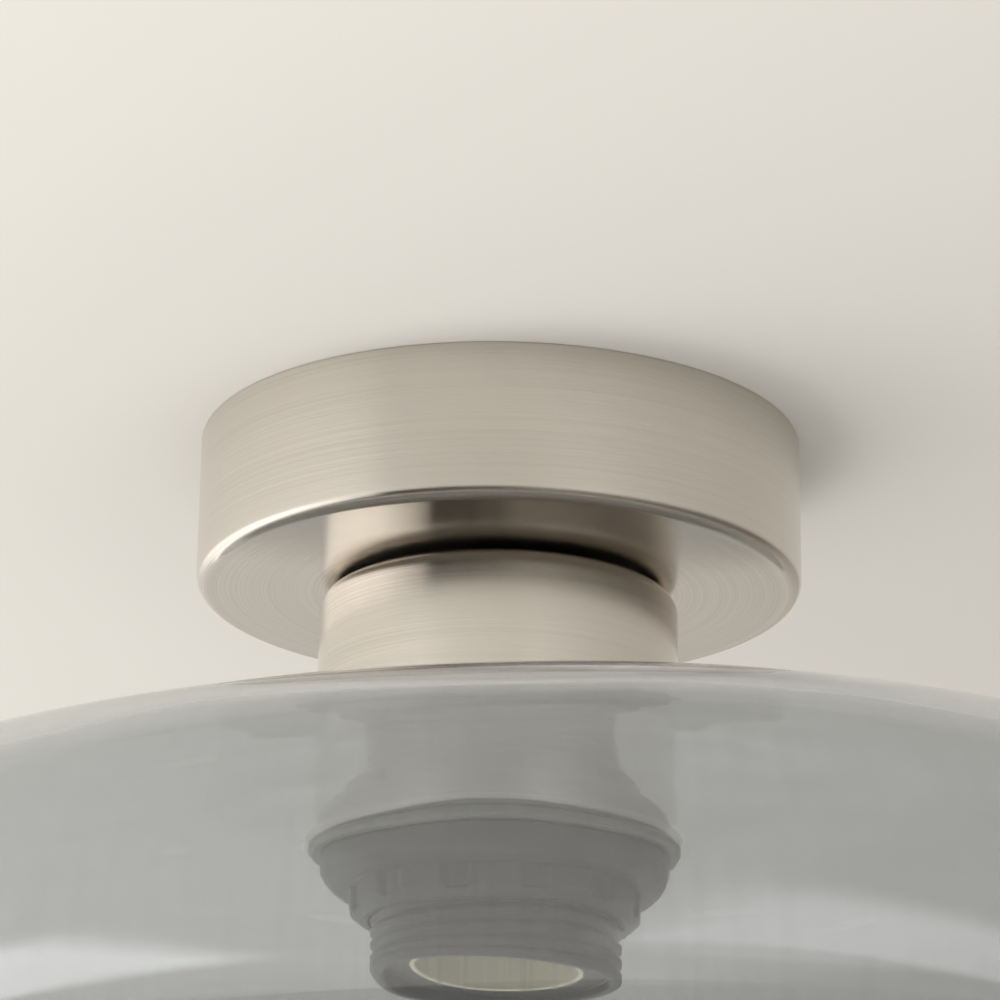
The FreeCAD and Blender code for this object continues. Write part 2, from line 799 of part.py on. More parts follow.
def make_block():
    """Two-pole terminal block on the canopy floor."""
    body = new_body("terminal_block", y=S.block_centre, z=CANOPY_FLOOR)
    corners = box_corners(0, 0, S.block_length, S.block_width)
    pad(body, "moulding", outline(body, "base", corners, "XY_Plane"), S.block_height)
    poles = (-S.pole_spacing / 2, S.pole_spacing / 2)
    entries = [(place, S.block_height / 2, S.entry_radius) for place in poles]
    drill(body, "wire_entries", rings(body, "entry_circles", entries, "XZ_Plane"))
    offsets = (-S.well_offset, S.well_offset)
    wells = [(place, offset, S.well_radius) for place in poles for offset in offsets]
    depth = S.block_height / 2 - S.entry_radius
    drill(body, "screw_wells", rings(body, "well_circles", wells, "XY_Plane", S.block_height), depth)
    drill(body, "stud_hole", rings(body, "stud_circle", [(0, 0, S.stud_radius + S.rod_clearance)]))
    screws = []
    for number, (x, y, _) in enumerate(wells, start=1):
        screws.append(cylinder("clamp_screw_%d" % number, S.stud_radius, depth - S.washer_thickness,
                               x, S.block_centre + y, CANOPY_FLOOR + S.block_height - depth))
    group("block_screws", screws)
    return body


def make_studs():
    """Welded stud and nut of the terminal block, and the earth screw with its clamping washer."""
    keep(cylinder("block_stud", S.stud_radius, S.stud_length, 0, S.block_centre, CANOPY_FLOOR))
    nut = new_body("block_nut", y=S.block_centre, z=CANOPY_FLOOR + S.block_height)
    flats = outline(nut, "flats", hexagon(S.stud_nut_flats), "XY_Plane")
    pad(nut, "hexagon", flats, S.stud_nut_height)
    drill(nut, "bore", rings(nut, "bore_circle", [(0, 0, S.stud_radius)]))

    keep(cylinder("earth_stud", S.earth_stud_radius, S.earth_stud_length, 0, -S.earth_centre,
                  CANOPY_FLOOR))
    clamp = new_body("earth_clamp", y=-S.earth_centre, z=CANOPY_FLOOR)
    washer = rings(clamp, "washer_circle", [(0, 0, S.earth_washer_radius)])
    pad(clamp, "washer", washer, S.washer_thickness)
    flats = outline(clamp, "nut_flats", hexagon(S.earth_nut_flats), "XY_Plane", S.washer_thickness)
    pad(clamp, "nut", flats, S.earth_nut_height)
    drill(clamp, "bore", rings(clamp, "bore_circle", [(0, 0, S.earth_stud_radius)]))


def wire_route(points, bend):
    """Straight runs through the points, joined by tangent arcs of one radius."""
    edges = []
    start = points[0]
    for before, corner, after in zip(points, points[1:], points[2:]):
        arriving = (corner - before).normalize()
        leaving = (after - corner).normalize()
        turn = arriving.getAngle(leaving)
        reach = bend * math.tan(turn / 2)
        arc_start = corner - arriving * reach
        arc_end = corner + leaving * reach
        inward = (leaving - arriving).normalize()
        centre = corner + inward * (bend / math.cos(turn / 2))
        middle = centre - inward * bend
        edges.append(Part.LineSegment(start, arc_start).toShape())
        edges.append(Part.Arc(arc_start, middle, arc_end).toShape())
        start = arc_end
    edges.append(Part.LineSegment(start, points[-1]).toShape())
    return Part.Wire(edges)


def wire_points(side):
    """Corners of one lead: from the block, over the rod's mouth and down it to its terminal."""
    offset = S.wire_spacing.value * side
    pole = S.pole_spacing.value / 2 * side
    run = S.wire_run.value
    block_face = S.block_centre.value - S.block_width.value / 2
    entry_height = CANOPY_FLOOR.value + S.block_height.value / 2
    crest = -S.rod_top.value + S.wire_rise.value
    rod_end = -S.rod_top.value - S.rod_length.value
    terminal = S.terminal_centre.value * side
    clamp_height = S.terminal_hole_height.value - S.insert_top.value
    return [
        Vector(pole, block_face, entry_height),
        Vector(pole, block_face - run, entry_height),
        Vector(offset, run, crest),
        Vector(offset, 0, crest - run),
        Vector(offset, 0, rod_end - S.cap_wall.value - S.wire_radius.value),
        Vector(terminal - S.wire_reach.value * side, 0, clamp_height),
        Vector(terminal, 0, clamp_height),
    ]


def make_wires():
    """Live and neutral leads; their ends lie in the block and in the lampholder's clamps."""
    radius = S.wire_radius.value
    for label, side in (("live_wire", 1), ("neutral_wire", -1)):
        route = wire_route(wire_points(side), S.wire_bend.value)
        start = route.OrderedVertexes[0].Point
        ring = Part.Wire(Part.Circle(start, Vector(0, -1, 0), radius).toShape())
        tube = route.makePipeShell([ring], True, False)
        expected = route.Length * math.pi * radius ** 2
        print(label, "length", round(route.Length, 1), "volume ratio", round(tube.Volume / expected, 4))
        item = doc.addObject("Part::Feature", label)
        item.Shape = tube
        keep(item)


def build():
    make_bracket()
    make_canopy()
    make_screw_bosses()
    make_side_screws()
    make_rod()
    make_stack()
    make_cup()
    make_glass()
    make_glass_seals()
    make_ring()
    make_cap()
    make_skirt()
    make_insert()
    make_shell()
    make_collar()
    make_contact()
    make_terminals()
    make_block()
    make_studs()
    make_wires()
    doc.recompute()


def check():
    """Stop before anything is written if an object failed or a sub-part has no sound solid."""
    for item in doc.Objects:
        if "Invalid" in item.State or "Error" in item.State:
            raise RuntimeError("%s is %s" % (item.Label, item.State))
    for item in PARTS:
        if item.Shape.isNull() or not item.Shape.isValid() or not item.Shape.Solids:
            raise RuntimeError("%s has no sound solid" % item.Label)


def write():
    os.makedirs("parts", exist_ok=True)
    for item in PARTS:
        item.Shape.exportStep("parts/%s.step" % item.Label)
        box = item.Shape.BoundBox
        print("%-22s %2d solid %9.1f mm3  z %.1f to %.1f" % (
            item.Label, len(item.Shape.Solids), item.Shape.Volume, box.ZMin, box.ZMax))


build()
check()
write()
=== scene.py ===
# %% [markdown]
# # A flush mount ceiling light with a smoky glass shade
#
# The lamp hangs from the ceiling at z = 0 and everything is below it. A brushed canopy and a
# brushed cup are spun from sheet metal, the shade is blown glass, and the lampholder is moulded.
# The CAD model gives every piece its place and size. This file gives the pieces their fine
# shapes and their finishes. Lengths are in metres and angles in radians, but sections are drawn
# in mm, and MM turns them into metres.

# %% Load the frame
import json
import math

import bpy
from mathutils import Matrix, Vector

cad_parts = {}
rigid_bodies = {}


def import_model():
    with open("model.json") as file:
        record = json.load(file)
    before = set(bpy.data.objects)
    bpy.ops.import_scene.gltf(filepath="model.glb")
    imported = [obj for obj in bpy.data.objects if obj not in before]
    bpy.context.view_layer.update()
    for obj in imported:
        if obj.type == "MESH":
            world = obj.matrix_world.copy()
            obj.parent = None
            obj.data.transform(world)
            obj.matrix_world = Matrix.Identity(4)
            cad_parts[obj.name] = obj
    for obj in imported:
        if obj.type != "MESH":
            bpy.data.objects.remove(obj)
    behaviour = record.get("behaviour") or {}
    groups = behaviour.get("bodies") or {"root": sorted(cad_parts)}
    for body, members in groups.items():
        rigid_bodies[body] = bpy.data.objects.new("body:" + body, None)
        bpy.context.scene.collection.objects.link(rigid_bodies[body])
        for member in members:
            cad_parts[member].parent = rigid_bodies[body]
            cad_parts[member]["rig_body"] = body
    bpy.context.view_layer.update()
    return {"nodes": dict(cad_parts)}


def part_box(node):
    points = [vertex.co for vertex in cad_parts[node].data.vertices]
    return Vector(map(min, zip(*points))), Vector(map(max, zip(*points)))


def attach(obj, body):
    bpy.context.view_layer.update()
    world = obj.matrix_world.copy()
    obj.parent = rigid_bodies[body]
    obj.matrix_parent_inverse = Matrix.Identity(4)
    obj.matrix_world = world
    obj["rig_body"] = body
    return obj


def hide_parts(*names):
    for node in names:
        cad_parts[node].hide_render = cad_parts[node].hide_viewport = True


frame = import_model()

MM = 0.001
NODE_SLOTS = {name: node.data.materials[0].name for name, node in frame["nodes"].items()}
for imported in list(bpy.data.materials):
    bpy.data.materials.remove(imported)

# %% [markdown]
# ## The camera
#
# The picture is taken from below with a long lens, from about 65 cm away. A long lens keeps the
# canopy's upper and lower rims almost equally wide. The camera leans by less than a degree, so
# the canopy's right side sits a little lower than its left side.

# %% Camera
CAMERA_PLACE = (0.0, -0.6129, -0.2243)
LOOK_UP, LEAN_LEFT = math.radians(19.39), 0.0129


def put_in_scene(name, data):
    """A new object with this data, linked into the scene."""
    made = bpy.data.objects.new(name, data)
    bpy.context.scene.collection.objects.link(made)
    return made


camera_data = bpy.data.cameras.new("camera")
camera_data.sensor_width = 36.0
camera_data.lens = 140.07
camera_data.clip_start = 0.01
camera_data.clip_end = 50.0
camera = put_in_scene("camera", camera_data)
turn = Matrix.Rotation(math.radians(90.0) + LOOK_UP, 4, "X") @ Matrix.Rotation(LEAN_LEFT, 4, "Z")
camera.matrix_world = Matrix.Translation(CAMERA_PLACE) @ turn
bpy.context.scene.camera = camera
print("camera at", [round(number, 3) for number in camera.location])

# %% [markdown]
# ## A bench for building node trees
#
# Materials and Geometry Nodes are both trees of nodes. Writing each link by hand is long, so a
# small helper adds a node, sets its values and joins its inputs in one call.

# %% Node bench


class Bench:
    """Adds nodes to one tree, with their inputs given by name or number."""

    def __init__(self, tree):
        self.tree = tree

    def node(self, kind, plugs=None, **settings):
        """A new node with its settings; plugs are values to set or sockets to join."""
        node = self.tree.nodes.new(kind)
        for name, value in settings.items():
            setattr(node, name, value)
        for name, value in (plugs or {}).items():
            if isinstance(value, bpy.types.NodeSocket):
                self.tree.links.new(value, node.inputs[name])
            else:
                node.inputs[name].default_value = value
        return node

    def math(self, operation, *values, clamp=False):
        plugs = dict(enumerate(values))
        return self.node("ShaderNodeMath", plugs, operation=operation, use_clamp=clamp).outputs[0]

    def vector(self, operation, *values):
        plugs = dict(enumerate(values))
        node = self.node("ShaderNodeVectorMath", plugs, operation=operation)
        return node.outputs["Value" if operation == "LENGTH" else "Vector"]

    def scaled(self, vector, scale):
        plugs = {0: vector, "Scale": scale}
        return self.node("ShaderNodeVectorMath", plugs, operation="SCALE").outputs[0]

    def split(self, vector):
        return self.node("ShaderNodeSeparateXYZ", {0: vector}).outputs

    def combine(self, x, y, z):
        return self.node("ShaderNodeCombineXYZ", {0: x, 1: y, 2: z}).outputs[0]

    def ramp(self, value, low, high, start=0.0, end=1.0):
        """Goes smoothly from start to end while value goes from low to high."""
        plugs = {"Value": value, "From Min": low, "From Max": high, "To Min": start, "To Max": end}
        return self.node("ShaderNodeMapRange", plugs, interpolation_type="SMOOTHSTEP").outputs[0]

    def noise(self, vector, scale, detail=2.0, roughness=0.5):
        plugs = {"Vector": vector, "Scale": scale, "Detail": detail, "Roughness": roughness}
        return self.node("ShaderNodeTexNoise", plugs).outputs[0]


def new_tree(name, kind, inputs, outputs):
    """An empty tree or group with named sockets, its bench, and its two end nodes."""
    tree = bpy.data.node_groups.new(name, kind)
    for side, sockets in (("INPUT", inputs), ("OUTPUT", outputs)):
        for label, socket_kind, value in sockets:
            socket = tree.interface.new_socket(name=label, in_out=side, socket_type=socket_kind)
            if value is not None:
                socket.default_value = value
    bench = Bench(tree)
    start = bench.node("NodeGroupInput")
    end = bench.node("NodeGroupOutput")
    return tree, bench, start, end


print("bench ready")

# %% [markdown]
# ## Turning a section
#
# Canopy, cup, washer, ring and lampholder are all round about the same upright axis. Spinning
# lathes make them from one section, and so does this tree: it lays out a grid with one row for
# each point of the section, then bends the rows into circles. It also writes a UV map whose U
# runs along the section in metres and whose V runs once round. The brushing follows that map.

# %% Turning tree
FLOAT, WHOLE = "NodeSocketFloat", "NodeSocketInt"
SHAPE, FINISH = "NodeSocketGeometry", "NodeSocketMaterial"


def finish_tree(bench, geometry, material, end):
    """Every tree ends by making real geometry and giving it its material."""
    real = bench.node("GeometryNodeRealizeInstances", {0: geometry})
    coated = bench.node("GeometryNodeSetMaterial", {"Geometry": real.outputs[0], "Material": material})
    bench.tree.links.new(coated.outputs[0], end.inputs[0])


def build_turning_tree():
    tree, bench, start, end = new_tree(
        "turn_on_the_axis", "GeometryNodeTree",
        [("Section", SHAPE, None), ("Steps", WHOLE, 192), ("Finish", FINISH, None)],
        [("Shape", SHAPE, None)])
    section, steps, material = start.outputs[0], start.outputs[1], start.outputs[2]
    count = bench.node("GeometryNodeAttributeDomainSize", {0: section}, component="MESH").outputs[0]
    columns = bench.math("ADD", steps, 1.0)
    grid = bench.node("GeometryNodeMeshGrid", {"Vertices X": count, "Vertices Y": columns})
    index = bench.node("GeometryNodeInputIndex").outputs[0]
    row = bench.math("FLOOR", bench.math("DIVIDE", index, columns))
    column = bench.math("SUBTRACT", index, bench.math("MULTIPLY", row, columns))
    place = bench.node("GeometryNodeInputPosition").outputs[0]
    point = bench.node("GeometryNodeSampleIndex", {"Geometry": section, "Value": place, "Index": row},
                       data_type="FLOAT_VECTOR", domain="POINT").outputs[0]
    along = bench.node("GeometryNodeInputNamedAttribute", {"Name": "along"}, data_type="FLOAT")
    length = bench.node("GeometryNodeSampleIndex",
                        {"Geometry": section, "Value": along.outputs[0], "Index": row},
                        data_type="FLOAT", domain="POINT").outputs[0]
    share = bench.math("DIVIDE", column, steps)
    angle = bench.math("MULTIPLY", share, math.tau)
    radius, _, height = bench.split(point)
    x = bench.math("MULTIPLY", radius, bench.math("COSINE", angle))
    y = bench.math("MULTIPLY", radius, bench.math("SINE", angle))
    bent = bench.node("GeometryNodeSetPosition",
                      {"Geometry": grid.outputs[0], "Position": bench.combine(x, y, height)})
    at_points = bench.node("GeometryNodeFieldOnDomain", {0: bench.combine(length, share, 0.0)},
                           data_type="FLOAT_VECTOR", domain="POINT")
    mapped = bench.node("GeometryNodeStoreNamedAttribute",
                        {"Geometry": bent.outputs[0], "Name": "UVMap", "Value": at_points.outputs[0]},
                        data_type="FLOAT2", domain="CORNER")
    closed = bench.node("GeometryNodeMergeByDistance",
                        {"Geometry": mapped.outputs[0], "Distance": 1e-6})
    finish_tree(bench, closed.outputs[0], material, end)
    return tree


TURNING = build_turning_tree()
print("turning tree:", len(TURNING.nodes), "nodes")

# %% [markdown]
# ## Screw threads
#
# The outside of the lampholder is one long screw for the shade ring, and the shell inside it has
# the lamp's own rolled thread. Both are a turned tube whose radius rises and falls along a helix.
# The tree moves each point in or out by the phase of that helix, and fades it at both ends.

# %% Thread tree
RIDGE_SHARPNESS = 0.7


def share_between(bench, z, lowest, highest, fade, radius, inner):
    """One between two heights and outside an inner radius, fading to nothing at both heights."""
    begun = bench.ramp(z, lowest, bench.math("ADD", lowest, fade))
    going = bench.ramp(z, bench.math("SUBTRACT", highest, fade), highest, 1.0, 0.0)
    outside = bench.math("GREATER_THAN", radius, inner)
    return bench.math("MULTIPLY", bench.math("MULTIPLY", begun, going), outside)


def build_thread_tree():
    tree, bench, start, end = new_tree(
        "cut_a_thread", "GeometryNodeTree",
        [("Shape", SHAPE, None), ("Pitch", FLOAT, 0.0027), ("Crest", FLOAT, 0.0),
         ("Root", FLOAT, 0.0008), ("Lowest", FLOAT, -0.09), ("Highest", FLOAT, -0.07),
         ("Fade", FLOAT, 0.001), ("Inner Radius", FLOAT, 0.0), ("Finish", FINISH, None)],
        [("Shape", SHAPE, None)])
    shape, pitch, crest, root, lowest, highest, fade, inner, material = start.outputs[:9]
    place = bench.node("GeometryNodeInputPosition").outputs[0]
    x, y, z = bench.split(place)
    flat = bench.combine(x, y, 0.0)
    turns = bench.math("DIVIDE", bench.math("ARCTAN2", y, x), math.tau)
    phase = bench.math("SUBTRACT", bench.math("DIVIDE", z, pitch), turns)
    wave = bench.math("COSINE", bench.math("MULTIPLY", phase, math.tau))
    ridge = bench.math("POWER", bench.math("MULTIPLY_ADD", wave, 0.5, 0.5), RIDGE_SHARPNESS)
    rise = bench.math("MULTIPLY", ridge, crest)
    fall = bench.math("MULTIPLY", bench.math("SUBTRACT", 1.0, ridge), root)
    share = share_between(bench, z, lowest, highest, fade, bench.vector("LENGTH", flat), inner)
    step = bench.math("MULTIPLY", bench.math("SUBTRACT", rise, fall), share)
    offset = bench.scaled(bench.vector("NORMALIZE", flat), step)
    moved = bench.node("GeometryNodeSetPosition", {"Geometry": shape, "Offset": offset})
    finish_tree(bench, moved.outputs[0], material, end)
    return tree


THREAD = build_thread_tree()
print("thread tree:", len(THREAD.nodes), "nodes")

# %% [markdown]
# ## Grip ribs
#
# Fingers turn the shade ring by ribs round its hub. Each rib is the hub left at full radius and
# each gap is pressed in a little, so the tree moves points inwards by the angle round the axis.

# %% Rib tree
GAP_FROM, GAP_UNTIL = -0.62, -0.4


def build_rib_tree():
    tree, bench, start, end = new_tree(
        "press_grip_ribs", "GeometryNodeTree",
        [("Shape", SHAPE, None), ("Count", FLOAT, 12.0), ("Depth", FLOAT, 0.0008),
         ("Lowest", FLOAT, -0.08), ("Highest", FLOAT, -0.075), ("Fade", FLOAT, 0.0004),
         ("Inner Radius", FLOAT, 0.0228), ("Finish", FINISH, None)],
        [("Shape", SHAPE, None)])
    shape, count, depth, lowest, highest, fade, inner, material = start.outputs[:8]
    x, y, z = bench.split(bench.node("GeometryNodeInputPosition").outputs[0])
    flat = bench.combine(x, y, 0.0)
    wave = bench.math("COSINE", bench.math("MULTIPLY", bench.math("ARCTAN2", y, x), count))
    gap = bench.ramp(wave, GAP_FROM, GAP_UNTIL, 1.0, 0.0)
    share = share_between(bench, z, lowest, highest, fade, bench.vector("LENGTH", flat), inner)
    inwards = bench.math("MULTIPLY", depth, -1.0)
    step = bench.math("MULTIPLY", bench.math("MULTIPLY", gap, share), inwards)
    offset = bench.scaled(bench.vector("NORMALIZE", flat), step)
    moved = bench.node("GeometryNodeSetPosition", {"Geometry": shape, "Offset": offset})
    finish_tree(bench, moved.outputs[0], material, end)
    return tree


RIBS = build_rib_tree()
print("rib tree:", len(RIBS.nodes), "nodes")

# %% [markdown]
# ## Blown glass
#
# A blown shade is never quite true. This one leans by about two degrees from the flat land round
# its hole, and its wall is thicker and thinner in soft rings. The first makes the edge of the
# shade slope in the picture, the second bends whatever is seen through it. Both are moves of the
# turned shape, so they are a tree too. The wall is even at the land and at the rim.

# %% Glass tree
RINGS_ROUND, RINGS_DOWN, PATCH_SCALE = 1.6, 60.0, 22.0
LAND_FADE, RIM_FADE = 0.02, 0.01


def build_glass_tree():
    tree, bench, start, end = new_tree(
        "lean_and_blow", "GeometryNodeTree",
        [("Shape", SHAPE, None), ("Lean", FLOAT, 0.0), ("Level Radius", FLOAT, 0.033),
         ("Full Radius", FLOAT, 0.0935), ("Ring Wave", FLOAT, 0.0001), ("Patch Wave", FLOAT, 0.0001),
         ("Rim Height", FLOAT, -0.156), ("Seed", FLOAT, 3.0), ("Finish", FINISH, None)],
        [("Shape", SHAPE, None)])
    shape, lean, level, full, ring_wave, patch_wave, rim, seed, material = start.outputs[:9]
    place = bench.node("GeometryNodeInputPosition").outputs[0]
    x, y, z = bench.split(place)
    flat = bench.combine(x, y, 0.0)
    radius = bench.vector("LENGTH", flat)
    reach = bench.node("ShaderNodeMapRange", {"Value": radius, "From Min": level, "From Max": full})
    share = bench.math("SINE", bench.math("MULTIPLY", reach.outputs[0], math.pi / 2))
    angle = bench.math("MULTIPLY", lean, share)
    leant = bench.combine(bench.math("MULTIPLY", x, bench.math("COSINE", angle)), y,
                          bench.math("ADD", z, bench.math("MULTIPLY", x, bench.math("SINE", angle))))

    round_way = bench.vector("NORMALIZE", flat)
    low_x, low_y, _ = bench.split(round_way)
    down = bench.math("MULTIPLY", bench.math("ADD", radius, z), RINGS_DOWN)
    ring_place = bench.combine(bench.math("MULTIPLY_ADD", low_x, RINGS_ROUND, seed),
                               bench.math("MULTIPLY", low_y, RINGS_ROUND), down)
    rings = bench.math("SUBTRACT", bench.noise(ring_place, 1.0, 1.0), 0.5)
    patches = bench.math("SUBTRACT", bench.noise(place, PATCH_SCALE, 1.0), 0.5)
    swell = bench.math("ADD", bench.math("MULTIPLY", rings, ring_wave),
                       bench.math("MULTIPLY", patches, patch_wave))
    off_land = bench.ramp(radius, level, bench.math("ADD", level, LAND_FADE))
    off_rim = bench.ramp(z, rim, bench.math("ADD", rim, RIM_FADE))
    loose = bench.math("MULTIPLY", off_land, off_rim)
    normal = bench.node("GeometryNodeInputNormal").outputs[0]
    offset = bench.scaled(normal, bench.math("MULTIPLY", swell, loose))
    moved = bench.node("GeometryNodeSetPosition",
                       {"Geometry": shape, "Position": leant, "Offset": offset})
    finish_tree(bench, moved.outputs[0], material, end)
    return tree


GLASS_TREE = build_glass_tree()
print("glass tree:", len(GLASS_TREE.nodes), "nodes")

# %% [markdown]
# ## Sections with rounded corners
#
# No real edge is a perfect corner: sheet metal bends round a radius and moulded plastic has one
# too. A section is written as corners, each with its own radius, and the helper swaps each corner
# for an arc. Long runs can be divided, so that a thread has points to move.

# %% Section helpers
STRAIGHT = 0.01


def rounded(corners, pieces=7):
    """Points of a closed section, from corners given as radius, height and rounding in mm."""
    spots = [Vector((corner[0], corner[1])) * MM for corner in corners]
    points = []
    for index, corner in enumerate(corners):
        here, before, after = spots[index], spots[index - 1], spots[(index + 1) % len(spots)]
        arriving, leaving = (here - before).normalized(), (after - here).normalized()
        bend = arriving.angle(leaving)
        if corner[2] == 0 or bend < STRAIGHT:
            points.append(here)
            continue
        radius = corner[2] * MM
        reach = radius * math.tan(bend / 2)
        first = here - arriving * reach
        centre = here + (leaving - arriving).normalized() * (radius / math.cos(bend / 2))
        sign = math.copysign(1.0, arriving.cross(leaving))
        for step in range(pieces + 1):
            turned = Matrix.Rotation(sign * bend * step / pieces, 2)
            points.append(centre + turned @ (first - centre))
    return points


def divided(points, longest):
    """The same closed section with no run longer than a given length in mm."""
    result = []
    for index, point in enumerate(points):
        after = points[(index + 1) % len(points)]
        parts = max(1, math.ceil((after - point).length / (longest * MM)))
        result += [point.lerp(after, part / parts) for part in range(parts)]
    return result


def add_modifier(piece, tree, values):
    """A Geometry Nodes modifier whose inputs are set by the identifiers of their names."""
    modifier = piece.modifiers.new(tree.name, "NODES")
    modifier.node_group = tree
    for socket in tree.interface.items_tree:
        if socket.in_out == "INPUT" and socket.name in values:
            modifier[socket.identifier] = values[socket.name]


def signed_volume(mesh):
    """The volume that a closed mesh holds, negative where its faces point inwards."""
    total = 0.0
    for polygon in mesh.polygons:
        first, *rest = [mesh.vertices[corner].co for corner in polygon.vertices]
        for one, two in zip(rest, rest[1:]):
            total += first.dot(one.cross(two)) / 6.0
    return total


def settle(piece, sharp=35.0):
    """Make a plain mesh of the modifiers' result, faces outwards, crisp past an angle in degrees."""
    depsgraph = bpy.context.evaluated_depsgraph_get()
    mesh = bpy.data.meshes.new_from_object(piece.evaluated_get(depsgraph))
    piece.modifiers.clear()
    piece.data = mesh
    mesh.name = piece.name
    volume = signed_volume(mesh)
    if volume < 0:
        mesh.flip_normals()
    mesh.shade_smooth()
    mesh.set_sharp_from_angle(angle=math.radians(sharp))
    print("%-20s %6d faces %8.2f cm3" % (piece.name, len(mesh.polygons), abs(volume) * 1e6))
    return piece


def turned(name, points, material, steps=192, further=()):
    """A solid turned from a closed section, with any further trees run on it."""
    points = points + points[:1]
    mesh = bpy.data.meshes.new(name + "_section")
    edges = [(index, index + 1) for index in range(len(points) - 1)]
    mesh.from_pydata([(point.x, 0.0, point.y) for point in points], edges, [])
    along = mesh.attributes.new("along", "FLOAT", "POINT")
    length = 0.0
    for index, point in enumerate(points):
        if index:
            length += (point - points[index - 1]).length
        along.data[index].value = length
    piece = put_in_scene(name, mesh)
    add_modifier(piece, TURNING, {"Steps": steps, "Finish": material})
    for tree, values in further:
        add_modifier(piece, tree, {**values, "Finish": material})
    return piece


def circle(radius, steps):
    """Points round the middle, as pairs of across and up."""
    angles = [math.tau * step / steps for step in range(steps)]
    return [(radius * math.cos(angle), radius * math.sin(angle)) for angle in angles]


def band(steps):
    """Faces that join the points of one circle to those of the next."""
    return [(step, (step + 1) % steps, steps + (step + 1) % steps, steps + step)
            for step in range(steps)]


print("section helpers ready")

# %% [markdown]
# ## Effects shared by several finishes
#
# Brushing is thousands of fine scratches left by an abrasive belt while the piece turns. They run
# round the axis and are much longer than they are wide. The group reads U, the distance along the
# section, so the same scratches run round the wall and round the flat underside. It puts out the
# scratches and, at a larger scale, the soft clouds of uneven pressure.

# %% Brushing group


def build_brushing_group():
    tree, bench, start, end = new_tree(
        "brushing", "ShaderNodeTree",
        [("Line Width", FLOAT, 0.0003), ("Line Length", FLOAT, 0.12), ("Cloud Size", FLOAT, 0.012)],
        [("Lines", FLOAT, None), ("Clouds", FLOAT, None)])
    width, length, cloud_size = start.outputs[:3]
    place = bench.node("ShaderNodeTexCoord").outputs["Object"]
    along = bench.split(bench.node("ShaderNodeUVMap", uv_map="UVMap").outputs[0])[0]
    x, y, _ = bench.split(bench.vector("NORMALIZE", bench.vector("MULTIPLY", place, (1.0, 1.0, 0.0))))
    scratch = bench.combine(bench.math("DIVIDE", x, length), bench.math("DIVIDE", y, length),
                            bench.math("DIVIDE", along, width))
    lines = bench.noise(scratch, 1.0, 3.0, 0.65)
    clouds = bench.noise(place, bench.math("DIVIDE", 1.0, cloud_size), 2.0)
    bench.tree.links.new(lines, end.inputs[0])
    bench.tree.links.new(clouds, end.inputs[1])
    return tree


BRUSHING = build_brushing_group()

# %% [markdown]
# Moulded plastic, glaze and rubber all have a skin that is a little uneven: a fine grain that
# breaks up the shine, and broad soft patches where the mould was hotter. One group serves them.

# %% Grain group


def build_grain_group():
    tree, bench, start, end = new_tree(
        "grain", "ShaderNodeTree",
        [("Grain Size", FLOAT, 0.0004), ("Patch Size", FLOAT, 0.01)],
        [("Grain", FLOAT, None), ("Patches", FLOAT, None)])
    size, patch_size = start.outputs[:2]
    place = bench.node("ShaderNodeTexCoord").outputs["Object"]
    grain = bench.noise(place, bench.math("DIVIDE", 1.0, size), 2.0, 0.6)
    patches = bench.noise(place, bench.math("DIVIDE", 1.0, patch_size), 2.0)
    bench.tree.links.new(grain, end.inputs[0])
    bench.tree.links.new(patches, end.inputs[1])
    return tree


GRAIN = build_grain_group()
print("groups:", BRUSHING.name, GRAIN.name)

# %% [markdown]
# ## Finishes
#
# Nickel and glass have a function each. All other finishes share one and are rows of a table.
# Values that are the same all over stay on the shader's own sockets. Colour, roughness and fine
# relief come from the groups, or for glass from its own streaks.

# %% Material helpers
# Places of the mix node's sockets, which it has for numbers and for colours.
NUMBER_A, NUMBER_B, COLOUR_A, COLOUR_B, COLOUR_RESULT = 2, 3, 6, 7, 2
NOISE_LOW, NOISE_HIGH = 0.3, 0.7


def new_material(name):
    """A material with an empty tree, its bench, its shader and its output."""
    material = bpy.data.materials.new(name)
    material.use_nodes = True
    material.node_tree.nodes.clear()
    bench = Bench(material.node_tree)
    shader = bench.node("ShaderNodeBsdfPrincipled")
    output = bench.node("ShaderNodeOutputMaterial", {"Surface": shader.outputs[0]})
    return material, bench, shader, output


def place_group(bench, group, values):
    """The outputs of one group, placed with its values."""
    return bench.node("ShaderNodeGroup", values, node_tree=group).outputs


def tint(bench, share, low, high):
    """A colour that goes from low to high with share."""
    plugs = {0: share, COLOUR_A: (*low, 1.0), COLOUR_B: (*high, 1.0)}
    return bench.node("ShaderNodeMix", plugs, data_type="RGBA").outputs[COLOUR_RESULT]


def blend(bench, share, low, high):
    """A number that goes from low to high with share."""
    return bench.node("ShaderNodeMix", {0: share, NUMBER_A: low, NUMBER_B: high}).outputs[0]


def blend_shaders(bench, share, low, high):
    """A shader that goes from low to high with share."""
    return bench.node("ShaderNodeMixShader", {0: share, 1: low, 2: high}).outputs[0]


def wire_up(bench, shader, colour, roughness, height, depth, strength):
    """Join colour and roughness to the shader, and a height through a bump."""
    bump = bench.node("ShaderNodeBump", {"Height": height, "Strength": strength, "Distance": depth})
    for label, value in (("Base Color", colour), ("Roughness", roughness), ("Normal", bump.outputs[0])):
        bench.tree.links.new(value, shader.inputs[label])


# %% [markdown]
# Brushed nickel: warm pale metal. A brushed surface throws its reflections across the scratches,
# so lights smear up and down the wall, while left and right stay clear. That is the shader's
# anisotropy, with the tangent taken from the UV map's U. The flat underside was faced on a lathe
# and is nearly a mirror, so its roughness is lower. U tells the two apart: the canopy's section
# starts with its underside, and nothing of the cup is faced. The scratches only change colour and
# roughness a little, or the wall would look like wood.

